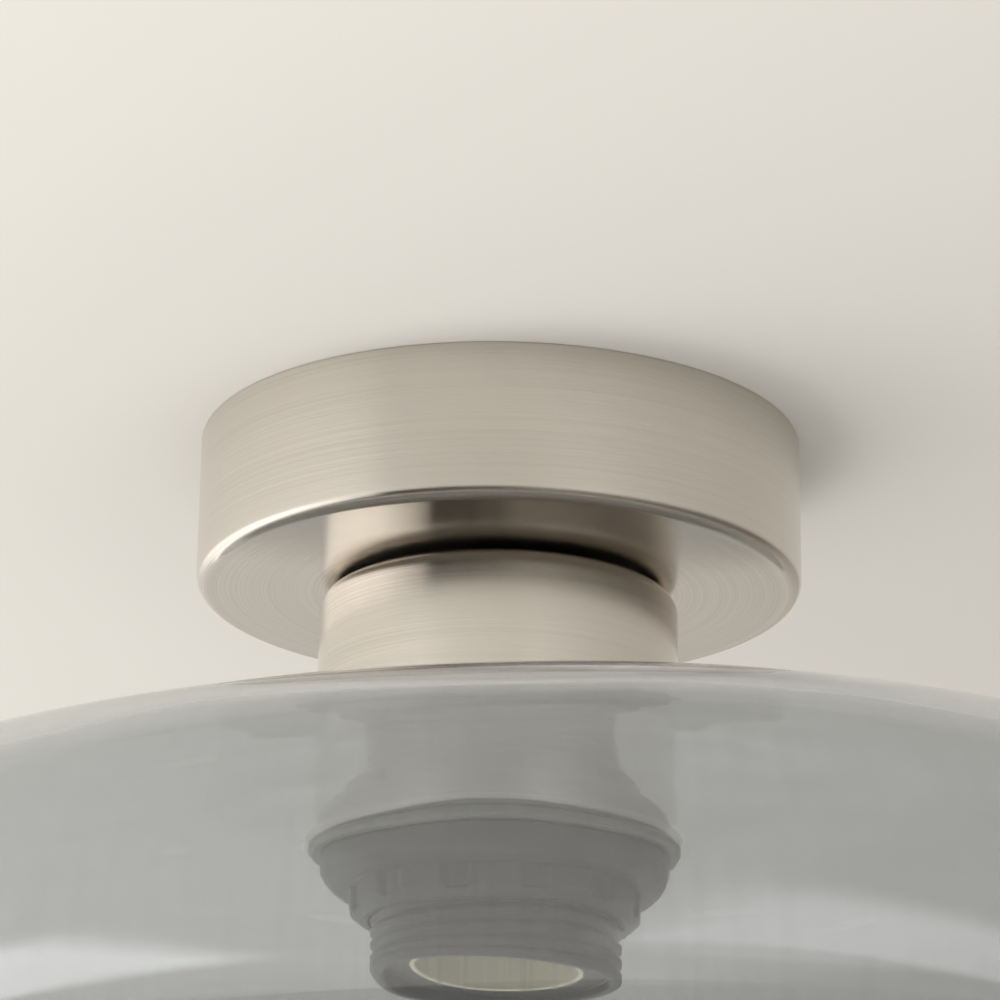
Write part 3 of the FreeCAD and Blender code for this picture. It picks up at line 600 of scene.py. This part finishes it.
# %% Brushed nickel
SCRATCHES = {"Line Width": 0.00013, "Line Length": 2.5, "Cloud Size": 0.02}
SCRATCH_LOW, SCRATCH_HIGH = 0.35, 0.65
SCRATCH_ROUGHNESS, CLOUD_ROUGHNESS, FACED_ROUGHNESS = 0.03, 0.01, 0.13
SCRATCH_DEPTH, SCRATCH_STRENGTH = 0.000003, 0.1
NICKEL_DARK, NICKEL_LIGHT = (0.66, 0.625, 0.57), (0.75, 0.71, 0.655)
FACED_FADE = 0.001
CANOPY_FACED_UNTIL, CUP_FACED_UNTIL = 0.0455, -1.0
CANOPY_ROUGHNESS, CUP_ROUGHNESS = 0.20, 0.14


def make_brushed_nickel(name, faced_until, wall_roughness):
    """Brushed metal, smoother where U, in metres, is below a given value."""
    material, bench, shader, _ = new_material(name)
    lines, clouds = place_group(bench, BRUSHING, SCRATCHES)
    shader.inputs["Metallic"].default_value = 1.0
    shader.inputs["Anisotropic"].default_value = 1.0
    tangent = bench.node("ShaderNodeTangent", direction_type="UV_MAP", uv_map="UVMap")
    bench.tree.links.new(tangent.outputs[0], shader.inputs["Tangent"])
    along = bench.split(bench.node("ShaderNodeUVMap", uv_map="UVMap").outputs[0])[0]
    brushed = bench.ramp(along, faced_until - FACED_FADE, faced_until + FACED_FADE)
    line = bench.ramp(lines, SCRATCH_LOW, SCRATCH_HIGH)
    colour = tint(bench, line, NICKEL_DARK, NICKEL_LIGHT)
    on_wall = bench.math("MULTIPLY_ADD", line, SCRATCH_ROUGHNESS, wall_roughness)
    roughness = blend(bench, brushed, FACED_ROUGHNESS, on_wall)
    cloud = bench.ramp(clouds, NOISE_LOW, NOISE_HIGH, -CLOUD_ROUGHNESS, CLOUD_ROUGHNESS)
    uneven = bench.math("ADD", roughness, cloud)
    wire_up(bench, shader, colour, uneven, lines, SCRATCH_DEPTH, SCRATCH_STRENGTH)
    return material


# %% [markdown]
# Smoky glass: a polished grey glass, darkest at the crown and paler towards the rim, with fine
# streaks that run down it. A small part of the light is scattered, which gives it a thin veil.
# Light passes it on its way to other surfaces, so it is see-through for shadows, for diffuse light
# and for the second mirroring, where real glass would only add noise.

# %% Smoky glass
CLEAR_SHARE, GLASS_IOR = 0.92, 1.58
STREAKS_ROUND, STREAKS_DOWN = 300.0, 30.0
PALE_BELOW, DARK_ABOVE, HEIGHT_SHARE = -0.115, -0.070, 0.75
PALE_SMOKE, DARK_SMOKE = (0.82, 0.845, 0.86), (0.62, 0.65, 0.665)
STREAK_LOW, STREAK_HIGH, STREAK_ROUGHNESS = 0.35, 0.75, 0.05
STREAK_DEPTH, STREAK_STRENGTH = 0.00001, 0.06
PASSING_TINT = (0.96, 0.96, 0.96, 1.0)


def make_smoky_glass():
    material, bench, shader, output = new_material("smoky_glass")
    shader.inputs["Transmission Weight"].default_value = CLEAR_SHARE
    shader.inputs["IOR"].default_value = GLASS_IOR
    place = bench.node("ShaderNodeTexCoord").outputs["Object"]
    x, y, z = bench.split(place)
    around = bench.math("MULTIPLY", bench.math("ARCTAN2", y, x), STREAKS_ROUND)
    streaks = bench.combine(around, bench.math("MULTIPLY", z, STREAKS_DOWN), 0.0)
    lines = bench.noise(streaks, 1.0, 2.0, 0.6)
    roughness = bench.ramp(lines, STREAK_LOW, STREAK_HIGH, 0.0, STREAK_ROUGHNESS)
    smoke = bench.math("MULTIPLY_ADD", bench.ramp(z, PALE_BELOW, DARK_ABOVE), HEIGHT_SHARE,
                       bench.ramp(lines, NOISE_LOW, NOISE_HIGH, 0.0, 1.0 - HEIGHT_SHARE))
    colour = tint(bench, smoke, PALE_SMOKE, DARK_SMOKE)
    wire_up(bench, shader, colour, roughness, lines, STREAK_DEPTH, STREAK_STRENGTH)
    rays = bench.node("ShaderNodeLightPath").outputs
    lighting = bench.math("MAXIMUM", rays["Is Shadow Ray"], rays["Is Diffuse Ray"])
    twice_mirrored = bench.math("GREATER_THAN", rays["Glossy Depth"], 1.5)
    path = bench.math("MAXIMUM", lighting, twice_mirrored)
    clear = bench.node("ShaderNodeBsdfTransparent", {0: PASSING_TINT})
    mix = blend_shaders(bench, path, shader.outputs[0], clear.outputs[0])
    bench.tree.links.new(mix, output.inputs["Surface"])
    return material


# %% [markdown]
# Plastics, ceramic, rubber and plain metals: one recipe with a colour range, a roughness range and
# a grain. Zinc plated steel and brass are stamped or turned, so their patches are smaller and
# their pits are finer.

# %% Grained finishes


def make_grained(name, low, high, roughness, grain_size=0.0005, patch_size=0.008, depth=0.00003,
                 strength=0.15, **constants):
    """A finish with a grain; constants are further sockets of the shader, with _ for a space."""
    material, bench, shader, _ = new_material(name)
    for label, value in constants.items():
        shader.inputs[label.replace("_", " ")].default_value = value
    grain, patches = place_group(bench, GRAIN, {"Grain Size": grain_size, "Patch Size": patch_size})
    colour = tint(bench, bench.ramp(patches, NOISE_LOW, NOISE_HIGH), low, high)
    rough = bench.ramp(grain, NOISE_LOW, NOISE_HIGH, *roughness)
    wire_up(bench, shader, colour, rough, grain, depth, strength)
    return material


METAL = {"grain_size": 0.0006, "patch_size": 0.004, "depth": 0.00002, "Metallic": 1.0}
GLAZE = {"grain_size": 0.002, "strength": 0.1, "Coat_Weight": 0.3}
GRAINED = [
    ("black_plastic", (0.036, 0.038, 0.040), (0.050, 0.052, 0.055), (0.32, 0.44), {}),
    ("cream_plastic", (0.50, 0.48, 0.37), (0.58, 0.56, 0.44), (0.45, 0.6), {}),
    ("white_plastic", (0.72, 0.72, 0.70), (0.80, 0.80, 0.78), (0.35, 0.5), {}),
    ("white_ceramic", (0.74, 0.73, 0.70), (0.82, 0.81, 0.78), (0.12, 0.25), GLAZE),
    ("clear_silicone", (0.10, 0.105, 0.10), (0.14, 0.145, 0.14), (0.30, 0.45), {}),
    ("brown_sleeve", (0.14, 0.06, 0.03), (0.18, 0.08, 0.04), (0.4, 0.5), {}),
    ("blue_sleeve", (0.02, 0.07, 0.28), (0.03, 0.10, 0.36), (0.4, 0.5), {}),
    ("zinc_steel", (0.50, 0.51, 0.53), (0.66, 0.67, 0.68), (0.28, 0.42), METAL),
    ("brass", (0.70, 0.50, 0.22), (0.80, 0.60, 0.30), (0.22, 0.36), METAL),
]
FINISHES = {
    "brushed_nickel": make_brushed_nickel("brushed_nickel", CANOPY_FACED_UNTIL, CANOPY_ROUGHNESS),
    "cup_nickel": make_brushed_nickel("cup_nickel", CUP_FACED_UNTIL, CUP_ROUGHNESS),
    "smoky_glass": make_smoky_glass(),
}
for label, low, high, roughness, more in GRAINED:
    FINISHES[label] = make_grained(label, low, high, roughness, **more)
print("finishes:", len(FINISHES))

# %% [markdown]
# ## CAD nodes that stay
#
# Bracket, screws, nuts, wires, terminals and cap have the right shape already. They only get
# their finish, chosen by the material slot that the record gives each node.

# %% Dress the CAD nodes
for name, node in frame["nodes"].items():
    node.data.materials.clear()
    node.data.materials.append(FINISHES[NODE_SLOTS[name]])
print("dressed", len(NODE_SLOTS), "nodes")


def stand_for(piece, node):
    """The piece takes the place and body of one CAD node, which is hidden."""
    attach(piece, frame["nodes"][node]["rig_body"])
    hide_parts(node)
    low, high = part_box(node)
    print("%-20s stands for %s, %.1f mm wide" % (piece.name, node, (high.x - low.x) / MM))


# %% [markdown]
# ## Canopy
#
# A shallow drum with a rounded lower edge. It hides the ceiling box and the bracket. Two small
# holes in its wall let the side screws through, cut with a bar that runs right across.

# %% Canopy


def top_and_bottom(node):
    """Highest and lowest level of a CAD node, in mm."""
    low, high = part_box(node)
    return high.z / MM, low.z / MM


def make_canopy():
    top, bottom = top_and_bottom("canopy")
    outer, wall, bore = 50.0, 1.5, 5.15
    section = rounded([
        (bore, bottom, 0.2), (outer, bottom, 2.0), (outer, top, 0.15),
        (outer - wall, top, 0.35), (outer - wall, bottom + wall, 0.5), (bore, bottom + wall, 0.2),
    ], pieces=10)
    return turned("canopy_drum", section, FINISHES["brushed_nickel"], steps=256)


def drill_side_holes(piece, radius, height, reach=60.0, steps=40):
    """Cut a round bar that lies along X out of the piece, with all sizes in mm."""
    corners = [(x * MM, across * MM, (height + up) * MM)
               for x in (-reach, reach) for across, up in circle(radius, steps)]
    ends = [tuple(range(steps))[::-1], tuple(range(steps, 2 * steps))]
    bar_mesh = bpy.data.meshes.new("bar")
    bar_mesh.from_pydata(corners, [], band(steps) + ends)
    bar = put_in_scene("bar", bar_mesh)
    cut = piece.modifiers.new("holes", "BOOLEAN")
    cut.object = bar
    cut.solver = "EXACT"
    settle(piece)
    bpy.data.objects.remove(bar)


SIDE_HOLE_RADIUS = 2.1
canopy_drum = make_canopy()
screw_low, screw_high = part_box("canopy_screw_left")
drill_side_holes(canopy_drum, SIDE_HOLE_RADIUS, (screw_low.z + screw_high.z) / 2 / MM)
stand_for(canopy_drum, "canopy")

# %% [markdown]
# ## Cup
#
# A deeper, smaller drum round the upper part of the lampholder. Its top edge is well rounded, and
# its rim holds the glass down through a thin gasket.

# %% Cup


def make_cup():
    top, bottom = top_and_bottom("lamp_cup")
    outer, wall, bore, edge = 29.6, 1.2, 5.15, 3.0
    section = rounded([
        (outer - wall, bottom, 0.3), (outer, bottom, 0.3), (outer, top, edge),
        (bore, top, 0.2), (bore, top - wall, 0.2), (outer - wall, top - wall, edge - wall),
    ], pieces=12)
    return turned("cup_drum", section, FINISHES["cup_nickel"], steps=256)


cup_drum = settle(make_cup())
stand_for(cup_drum, "lamp_cup")

# %% [markdown]
# ## Glass shade
#
# The outer skin starts at the ground hole, runs nearly level past the cup, falls away in a wide
# crown, turns over the shoulder and comes back in to a fire polished rim. The inner skin is the
# same curve, one wall thickness inside. The round rim reaches a little past the last arc, so that
# arc ends a little early.

# %% Glass section
HOLE_RADIUS, LAND_RADIUS, FLAT_RADIUS, FLAT_DROP = 21.8, 33.0, 72.0, 0.4
CROWN_RADIUS, CROWN_ANGLE = 136.0, math.radians(20.0)
SHADE_RADIUS, LOWER_RADIUS, RIM_ANGLE = 150.0, 60.0, math.radians(129.4)
GLASS_WALL, HOLE_BEVEL = 2.6, 0.5
GLASS_TOP = top_and_bottom("upper_gasket")[1]
LAND_STEPS, CROWN_STEPS, SHOULDER_STEPS, LOWER_STEPS, RIM_STEPS = 16, 18, 26, 22, 10


def skin(inset):
    """Points from the hole to the rim, inset into the wall, as radius and height in mm."""
    crown_centre = GLASS_TOP - FLAT_DROP - CROWN_RADIUS
    shoulder_radius = ((SHADE_RADIUS - FLAT_RADIUS - CROWN_RADIUS * math.sin(CROWN_ANGLE))
                       / (1 - math.sin(CROWN_ANGLE)))
    shoulder_centre = SHADE_RADIUS - shoulder_radius
    widest = crown_centre + (CROWN_RADIUS - shoulder_radius) * math.cos(CROWN_ANGLE)
    lower_centre = SHADE_RADIUS - LOWER_RADIUS
    points = [(HOLE_RADIUS, GLASS_TOP - inset)]
    for step in range(LAND_STEPS):
        share = step / LAND_STEPS
        ease = share * share * (3 - 2 * share)
        radius = LAND_RADIUS + (FLAT_RADIUS - LAND_RADIUS) * share
        points.append((radius, GLASS_TOP - inset - FLAT_DROP * ease))
    arcs = (
        (FLAT_RADIUS, crown_centre, CROWN_RADIUS - inset, 0.0, CROWN_ANGLE, CROWN_STEPS),
        (shoulder_centre, widest, shoulder_radius - inset, CROWN_ANGLE, math.pi / 2, SHOULDER_STEPS),
        (lower_centre, widest, LOWER_RADIUS - inset, math.pi / 2, RIM_ANGLE, LOWER_STEPS),
    )
    for centre, middle, radius, first, last, pieces in arcs:
        for step in range(pieces):
            angle = first + (last - first) * step / pieces
            points.append((centre + radius * math.sin(angle), middle + radius * math.cos(angle)))
    radius = LOWER_RADIUS - inset
    points.append((lower_centre + radius * math.sin(RIM_ANGLE), widest + radius * math.cos(RIM_ANGLE)))
    return points


def glass_section():
    """Outer skin, round rim, inner skin back to the hole, and a small bevel at the hole."""
    outside, inside = skin(0.0), skin(GLASS_WALL)
    rim_outer, rim_inner = Vector(outside[-1]), Vector(inside[-1])
    middle = (rim_outer + rim_inner) / 2
    half = rim_outer - middle
    rim = [middle + Matrix.Rotation(-math.pi * step / RIM_STEPS, 2) @ half
           for step in range(1, RIM_STEPS)]
    outside[0] = (HOLE_RADIUS + HOLE_BEVEL, GLASS_TOP)
    inside[0] = (HOLE_RADIUS + HOLE_BEVEL, GLASS_TOP - GLASS_WALL)
    hole = [(HOLE_RADIUS, GLASS_TOP - GLASS_WALL + HOLE_BEVEL), (HOLE_RADIUS, GLASS_TOP - HOLE_BEVEL)]
    points = outside + [tuple(point) for point in rim] + inside[::-1] + hole
    return [Vector(point) * MM for point in points]


GLASS_POINTS = glass_section()
print("glass section:", len(GLASS_POINTS), "points")

# %% Glass shade
blown = {"Lean": math.radians(2.23), "Ring Wave": 0.00025, "Patch Wave": 0.0003,
         "Rim Height": min(point.y for point in GLASS_POINTS)}
shade = turned("smoky_shade", GLASS_POINTS, FINISHES["smoky_glass"], steps=288,
               further=[(GLASS_TREE, blown)])
settle(shade, sharp=60.0)
stand_for(shade, "glass_shade")

# %% [markdown]
# ## Washer and shade ring
#
# A soft washer spreads the load under the glass. The ring below it has a flange with a rounded
# shoulder, a ribbed hub for the fingers and a bevel down to a thin lip.

# %% Washer and ring


def make_washer():
    top, bottom = top_and_bottom("lower_washer")
    bore, outer = 21.1, 30.5
    section = rounded([(bore, bottom, 0.4), (outer, bottom, 0.9), (outer, top, 0.9), (bore, top, 0.4)])
    return turned("soft_washer", section, FINISHES["clear_silicone"])


def make_ring():
    top, bottom = top_and_bottom("shade_ring")
    flange, flange_height, hub, bore, lip = 28.6, 2.5, 23.9, 21.1, 1.1
    shoulder, hub_height, bevel, steps = 3.4, 9.4, 0.3, 9
    corners = [(bore, top, 0.3), (flange, top, 0.7), (flange, top - flange_height, 0.0)]
    for step in range(1, steps):
        turn = math.pi / 2 * step / steps
        corners.append((flange - (flange - hub) * (1 - math.cos(turn)),
                        top - flange_height - shoulder * math.sin(turn), 0.0))
    neck = top - flange_height - shoulder
    corners += [
        (hub + bevel, neck, 0.0), (hub, neck - bevel, 0.0), (hub, top - hub_height, 0.3),
        (bore + lip, bottom, 0.3), (bore, bottom, 0.2),
    ]
    section = divided(rounded(corners), longest=0.5)
    ribs = {"Lowest": (top - hub_height - 0.5) * MM, "Highest": neck * MM}
    return turned("ribbed_ring", section, FINISHES["black_plastic"], steps=288, further=[(RIBS, ribs)])


soft_washer = settle(make_washer())
stand_for(soft_washer, "lower_washer")
ribbed_ring = settle(make_ring())
stand_for(ribbed_ring, "shade_ring")

# %% [markdown]
# ## Lampholder
#
# The skirt is a moulded tube with a coarse rounded thread outside, for the ring, and a ledge just
# inside its mouth. The sleeve of a pale collar fits through the ledge, and the metal shell inside
# has the lamp's own thread.

# %% Lampholder


def make_skirt():
    top, bottom = top_and_bottom("lampholder_skirt")
    outer, bore, mouth, ledge = 20.8, 16.8, 18.8, 14.5
    neck_radius, neck_height, thread_top = 19.05, -60.0, -66.0
    ledge_under, ledge_over = bottom + 2.0, bottom + 3.5
    section = rounded([
        (mouth, bottom, 0.5), (outer, bottom, 1.0), (outer, neck_height, 0.2),
        (neck_radius, neck_height, 0.0), (neck_radius, top, 0.2), (bore, top, 0.2),
        (bore, ledge_over, 0.2), (ledge, ledge_over, 0.2), (ledge, ledge_under, 0.2),
        (mouth, ledge_under, 0.3),
    ])
    thread = {"Pitch": 0.0027, "Root": 0.0009, "Lowest": (bottom + 1.2) * MM,
              "Highest": thread_top * MM, "Fade": 0.0012, "Inner Radius": 0.0195}
    return turned("threaded_skirt", divided(section, longest=0.3), FINISHES["black_plastic"],
                  steps=160, further=[(THREAD, thread)])


def make_shell():
    top, bottom = top_and_bottom("screw_shell")
    bore, foot, wall = 13.3, 14.6, 0.5
    shoulder = top - 4.0
    section = rounded([
        (bore, bottom, 0.15), (bore + wall, bottom, 0.15), (bore + wall, shoulder - wall, 0.1),
        (foot + wall, shoulder - wall, 0.1), (foot + wall, top - wall, 0.1),
        (foot + wall * 3, top - wall, 0.1), (foot + wall * 3, top, 0.1), (foot, top, 0.1),
        (foot, shoulder, 0.1), (bore, shoulder, 0.1),
    ], pieces=3)
    thread = {"Pitch": 0.0036, "Crest": 0.0006, "Root": 0.0, "Lowest": (bottom + 0.6) * MM,
              "Highest": (shoulder - 0.6) * MM, "Fade": 0.0015}
    return turned("threaded_shell", divided(section, longest=0.4), FINISHES["brass"],
                  steps=128, further=[(THREAD, thread)])


def make_collar():
    top, bottom = top_and_bottom("insulating_collar")
    bore, sleeve, outer = 13.6, 14.5, 16.8
    shoulder = bottom + 1.5
    section = rounded([
        (bore, bottom, 0.4), (sleeve, bottom, 0.2), (sleeve, shoulder, 0.1), (outer, shoulder, 0.1),
        (outer, top, 0.2), (bore, top, 0.3),
    ])
    return turned("pale_collar", section, FINISHES["cream_plastic"])


for piece, node in ((make_skirt(), "lampholder_skirt"), (make_shell(), "screw_shell"),
                    (make_collar(), "insulating_collar")):
    stand_for(settle(piece), node)

# %% [markdown]
# ## Ceiling
#
# The lamp hangs from a pale ceiling, which is also the picture's background. It is a ring, open
# inside the canopy as it is over a ceiling box. Seen from above, the ceiling must not hide the
# lamp, so it shows only its lower side and is clear from its back. Its paint gets darker to the
# right and to the back: this is painted shade, where less of the window's light falls. Only
# mirror-like surfaces see two glowing patches on it, one on each side of the camera, which
# lighten what the glass mirrors. It is stage, and not part of the lamp.

# %% Ceiling paint
# The paint's darkening towards the right and the back is painted shade, where less of the window's
# light falls.
PAINT_PALE, PAINT_SHADED = (0.95, 0.945, 0.90), (0.42, 0.40, 0.375)
PAINTED_SHADE_TO_RIGHT, PAINTED_SHADE_TO_BACK = 0.65, 0.30
PAINT_FROM, PAINT_UNTIL = -0.209, 0.291
GLOW_TINT = (0.95, 0.94, 1.0, 1.0)
GLOW_MIDDLE = -0.08
# Ramps, each as low, high, and then the levels at low and at high where they aren't 0 and 1.
GLOW_BESIDE = (0.14, 0.28)
GLOW_BACK_EDGE = (-0.34, -0.26, 1.0, 0.0)
GLOW_FRONT_EDGE = (-0.75, -0.6)
GLOW_LEVEL = (-0.3, 0.1, 2.6, 1.6)


def glow_level(bench, x, y):
    """How much the ceiling glows for mirror-like surfaces, and nothing for all others."""
    from_middle = bench.math("ABSOLUTE", bench.math("SUBTRACT", x, GLOW_MIDDLE))
    beside = bench.ramp(from_middle, *GLOW_BESIDE)
    before = bench.math("MULTIPLY", bench.ramp(y, *GLOW_BACK_EDGE),
                        bench.ramp(y, *GLOW_FRONT_EDGE))
    glossy = bench.node("ShaderNodeLightPath").outputs["Is Glossy Ray"]
    patches = bench.math("MULTIPLY", bench.math("MULTIPLY", beside, before), glossy)
    return bench.math("MULTIPLY", patches, bench.ramp(x, *GLOW_LEVEL))


def make_ceiling_paint():
    """Matt paint with painted shade towards the right and the back, clear where it faces up."""
    material, bench, shader, output = new_material("ceiling_paint")
    shader.inputs["Roughness"].default_value = 1.0
    shader.inputs["Specular IOR Level"].default_value = 0.0
    shader.inputs["Emission Color"].default_value = GLOW_TINT
    x, y, _ = bench.split(bench.node("ShaderNodeTexCoord").outputs["Object"])
    # Painted shade: the paint darkens to the right and to the back, where less window light falls.
    away = bench.math("MULTIPLY_ADD", x, PAINTED_SHADE_TO_RIGHT, bench.math("MULTIPLY", y, PAINTED_SHADE_TO_BACK))
    share = bench.node("ShaderNodeMapRange",
                       {"Value": away, "From Min": PAINT_FROM, "From Max": PAINT_UNTIL}).outputs[0]
    links = bench.tree.links
    links.new(tint(bench, share, PAINT_PALE, PAINT_SHADED), shader.inputs["Base Color"])
    links.new(glow_level(bench, x, y), shader.inputs["Emission Strength"])
    back = bench.node("ShaderNodeNewGeometry").outputs["Backfacing"]
    clear = bench.node("ShaderNodeBsdfTransparent")
    links.new(blend_shaders(bench, back, shader.outputs[0], clear.outputs[0]), output.inputs["Surface"])
    return material


# %% Ceiling
CEILING_HEIGHT, CEILING_HOLE, CEILING_REACH = 0.00003, 0.047, 2.7


def make_ceiling(steps=64):
    """A flat ring that faces down."""
    corners = [(x, y, CEILING_HEIGHT) for radius in (CEILING_HOLE, CEILING_REACH)
               for x, y in circle(radius, steps)]
    mesh = bpy.data.meshes.new("ceiling")
    mesh.from_pydata(corners, [], band(steps))
    mesh.materials.append(make_ceiling_paint())
    plane = put_in_scene("ceiling", mesh)
    print("ceiling faces", "down" if mesh.polygons[0].normal.z < 0 else "up")


make_ceiling()

# %% [markdown]
# ## Room
#
# Metal looks like what it mirrors, so the room matters more than the lamps. It is drawn on the
# world as brightness by bearing: 0 degrees is towards the camera, negative is to its left. There
# is a tall window on the left, a dark cabinet beside the camera, a dim wall on the right and a
# grey floor. Well below the lamp, all of it is drawn further to the left. Matt surfaces don't see
# these stripes. They see a soft light that is brightest from below, from the camera's side and
# from the left. The camera itself sees only a plain pale background.

# %% Room
WALL_BY_BEARING = [
    (-180, 0.62), (-155, 0.80), (-140, 1.40), (-100, 1.75), (-80, 1.75), (-59, 1.25), (-49, 0.80),
    (-42, 0.03), (-32, 0.00), (-26, 0.06), (-18, 0.00), (-9, 0.07), (-2, 0.03), (12, 0.22),
    (40, 0.22), (75, 0.16), (110, 0.18), (135, 0.38), (160, 0.50), (180, 0.62),
]
SLANT, SLANT_BELOW = 3.5, -0.35
FLOOR_LEVEL, FLOOR_BELOW, WALL_ABOVE = 0.20, -0.62, -0.42
DIM, BRIGHT = 0.1, 0.9
DIM_TINT, BRIGHT_TINT = (1.0, 0.90, 0.77), (1.0, 0.965, 0.92)
# Ramps of the soft light, each as low, high, level at low, level at high.
SOFT_BY_HEIGHT = (-0.85, -0.25, 1.10, 0.27)
SOFT_BY_DEPTH = (-0.4, 0.5, 1.3, 0.6)
SOFT_TO_RIGHT = -0.25
BACKGROUND_TINT = (0.90, 0.88, 0.85, 1.0)


def wall_level(bench, x, y, z):
    """How bright the wall is in a direction."""
    bearing = bench.math("ARCTAN2", x, bench.math("MULTIPLY", y, -1.0))
    lower = bench.math("MAXIMUM", bench.math("SUBTRACT", SLANT_BELOW, z), 0.0)
    slanted = bench.math("MULTIPLY_ADD", lower, SLANT, bearing)
    ramp = bench.node("ShaderNodeValToRGB", {0: bench.math("MULTIPLY_ADD", slanted, 1 / math.tau, 0.5)})
    elements = ramp.color_ramp.elements
    top_level = max(level for _, level in WALL_BY_BEARING)
    while len(elements) < len(WALL_BY_BEARING):
        elements.new(0.5)
    for element, (degrees, level) in zip(elements, WALL_BY_BEARING):
        element.position = (degrees + 180) / 360
        element.color = (level / top_level,) * 3 + (1.0,)
    return bench.math("MULTIPLY", ramp.outputs[0], top_level)


def soft_level(bench, x, y, z):
    """How bright the soft light for matt surfaces is in a direction."""
    aimed = bench.math("MULTIPLY", bench.ramp(z, *SOFT_BY_HEIGHT), bench.ramp(y, *SOFT_BY_DEPTH))
    return bench.math("MULTIPLY", aimed, bench.math("MULTIPLY_ADD", x, SOFT_TO_RIGHT, 1.0))


def background(bench, tone, strength):
    return bench.node("ShaderNodeBackground", {0: tone, 1: strength}).outputs[0]


def make_room():
    world = bpy.data.worlds.new("room")
    bpy.context.scene.world = world
    world.use_nodes = True
    world.node_tree.nodes.clear()
    bench = Bench(world.node_tree)
    x, y, z = bench.split(bench.node("ShaderNodeTexCoord").outputs["Generated"])
    floor = bench.ramp(z, FLOOR_BELOW, WALL_ABOVE, 1.0, 0.0)
    level = blend(bench, floor, wall_level(bench, x, y, z), FLOOR_LEVEL)
    colour = tint(bench, bench.ramp(level, DIM, BRIGHT), DIM_TINT, BRIGHT_TINT)
    drawn = background(bench, colour, level)
    soft = background(bench, (*BRIGHT_TINT, 1.0), soft_level(bench, x, y, z))
    plain = background(bench, BACKGROUND_TINT, 1.0)
    rays = bench.node("ShaderNodeLightPath").outputs
    room = blend_shaders(bench, rays["Is Diffuse Ray"], drawn, soft)
    seen = blend_shaders(bench, rays["Is Camera Ray"], room, plain)
    bench.node("ShaderNodeOutputWorld", {0: seen})
    print("room drawn with", len(WALL_BY_BEARING), "bearings")


make_room()
bpy.context.scene.view_settings.view_transform = "Standard"

# %% [markdown]
# ## Main light
#
# A large soft light low on the left, a little behind the lamp, throws the canopy's soft shadow on
# the ceiling, to the right and towards the camera. It isn't seen in the metal or through the
# glass, where it would only be a bright spot.

# %% Main light
LIGHT_BEARING, LIGHT_DROP, LIGHT_DISTANCE = math.radians(-117.0), math.radians(62.0), 1.8


def way_to(bearing, drop):
    """Direction from the lamp to a bearing, as in the room, and an angle below level."""
    level = math.cos(drop)
    return Vector((math.sin(bearing) * level, -math.cos(bearing) * level, -math.sin(drop)))


def add_window_light():
    data = bpy.data.lights.new("window_light", "AREA")
    data.shape = "DISK"
    data.size = 1.0
    data.energy = 8.0
    data.color = (1.0, 0.975, 0.94)
    light = put_in_scene("window_light", data)
    light.visible_glossy = False
    light.visible_transmission = False
    way = way_to(LIGHT_BEARING, LIGHT_DROP)
    light.location = way * LIGHT_DISTANCE
    light.rotation_mode = "QUATERNION"
    light.rotation_quaternion = (-way).to_track_quat("-Z", "Y")
    print(light.name, data.energy, "W at", [round(number, 2) for number in light.location])


add_window_light()
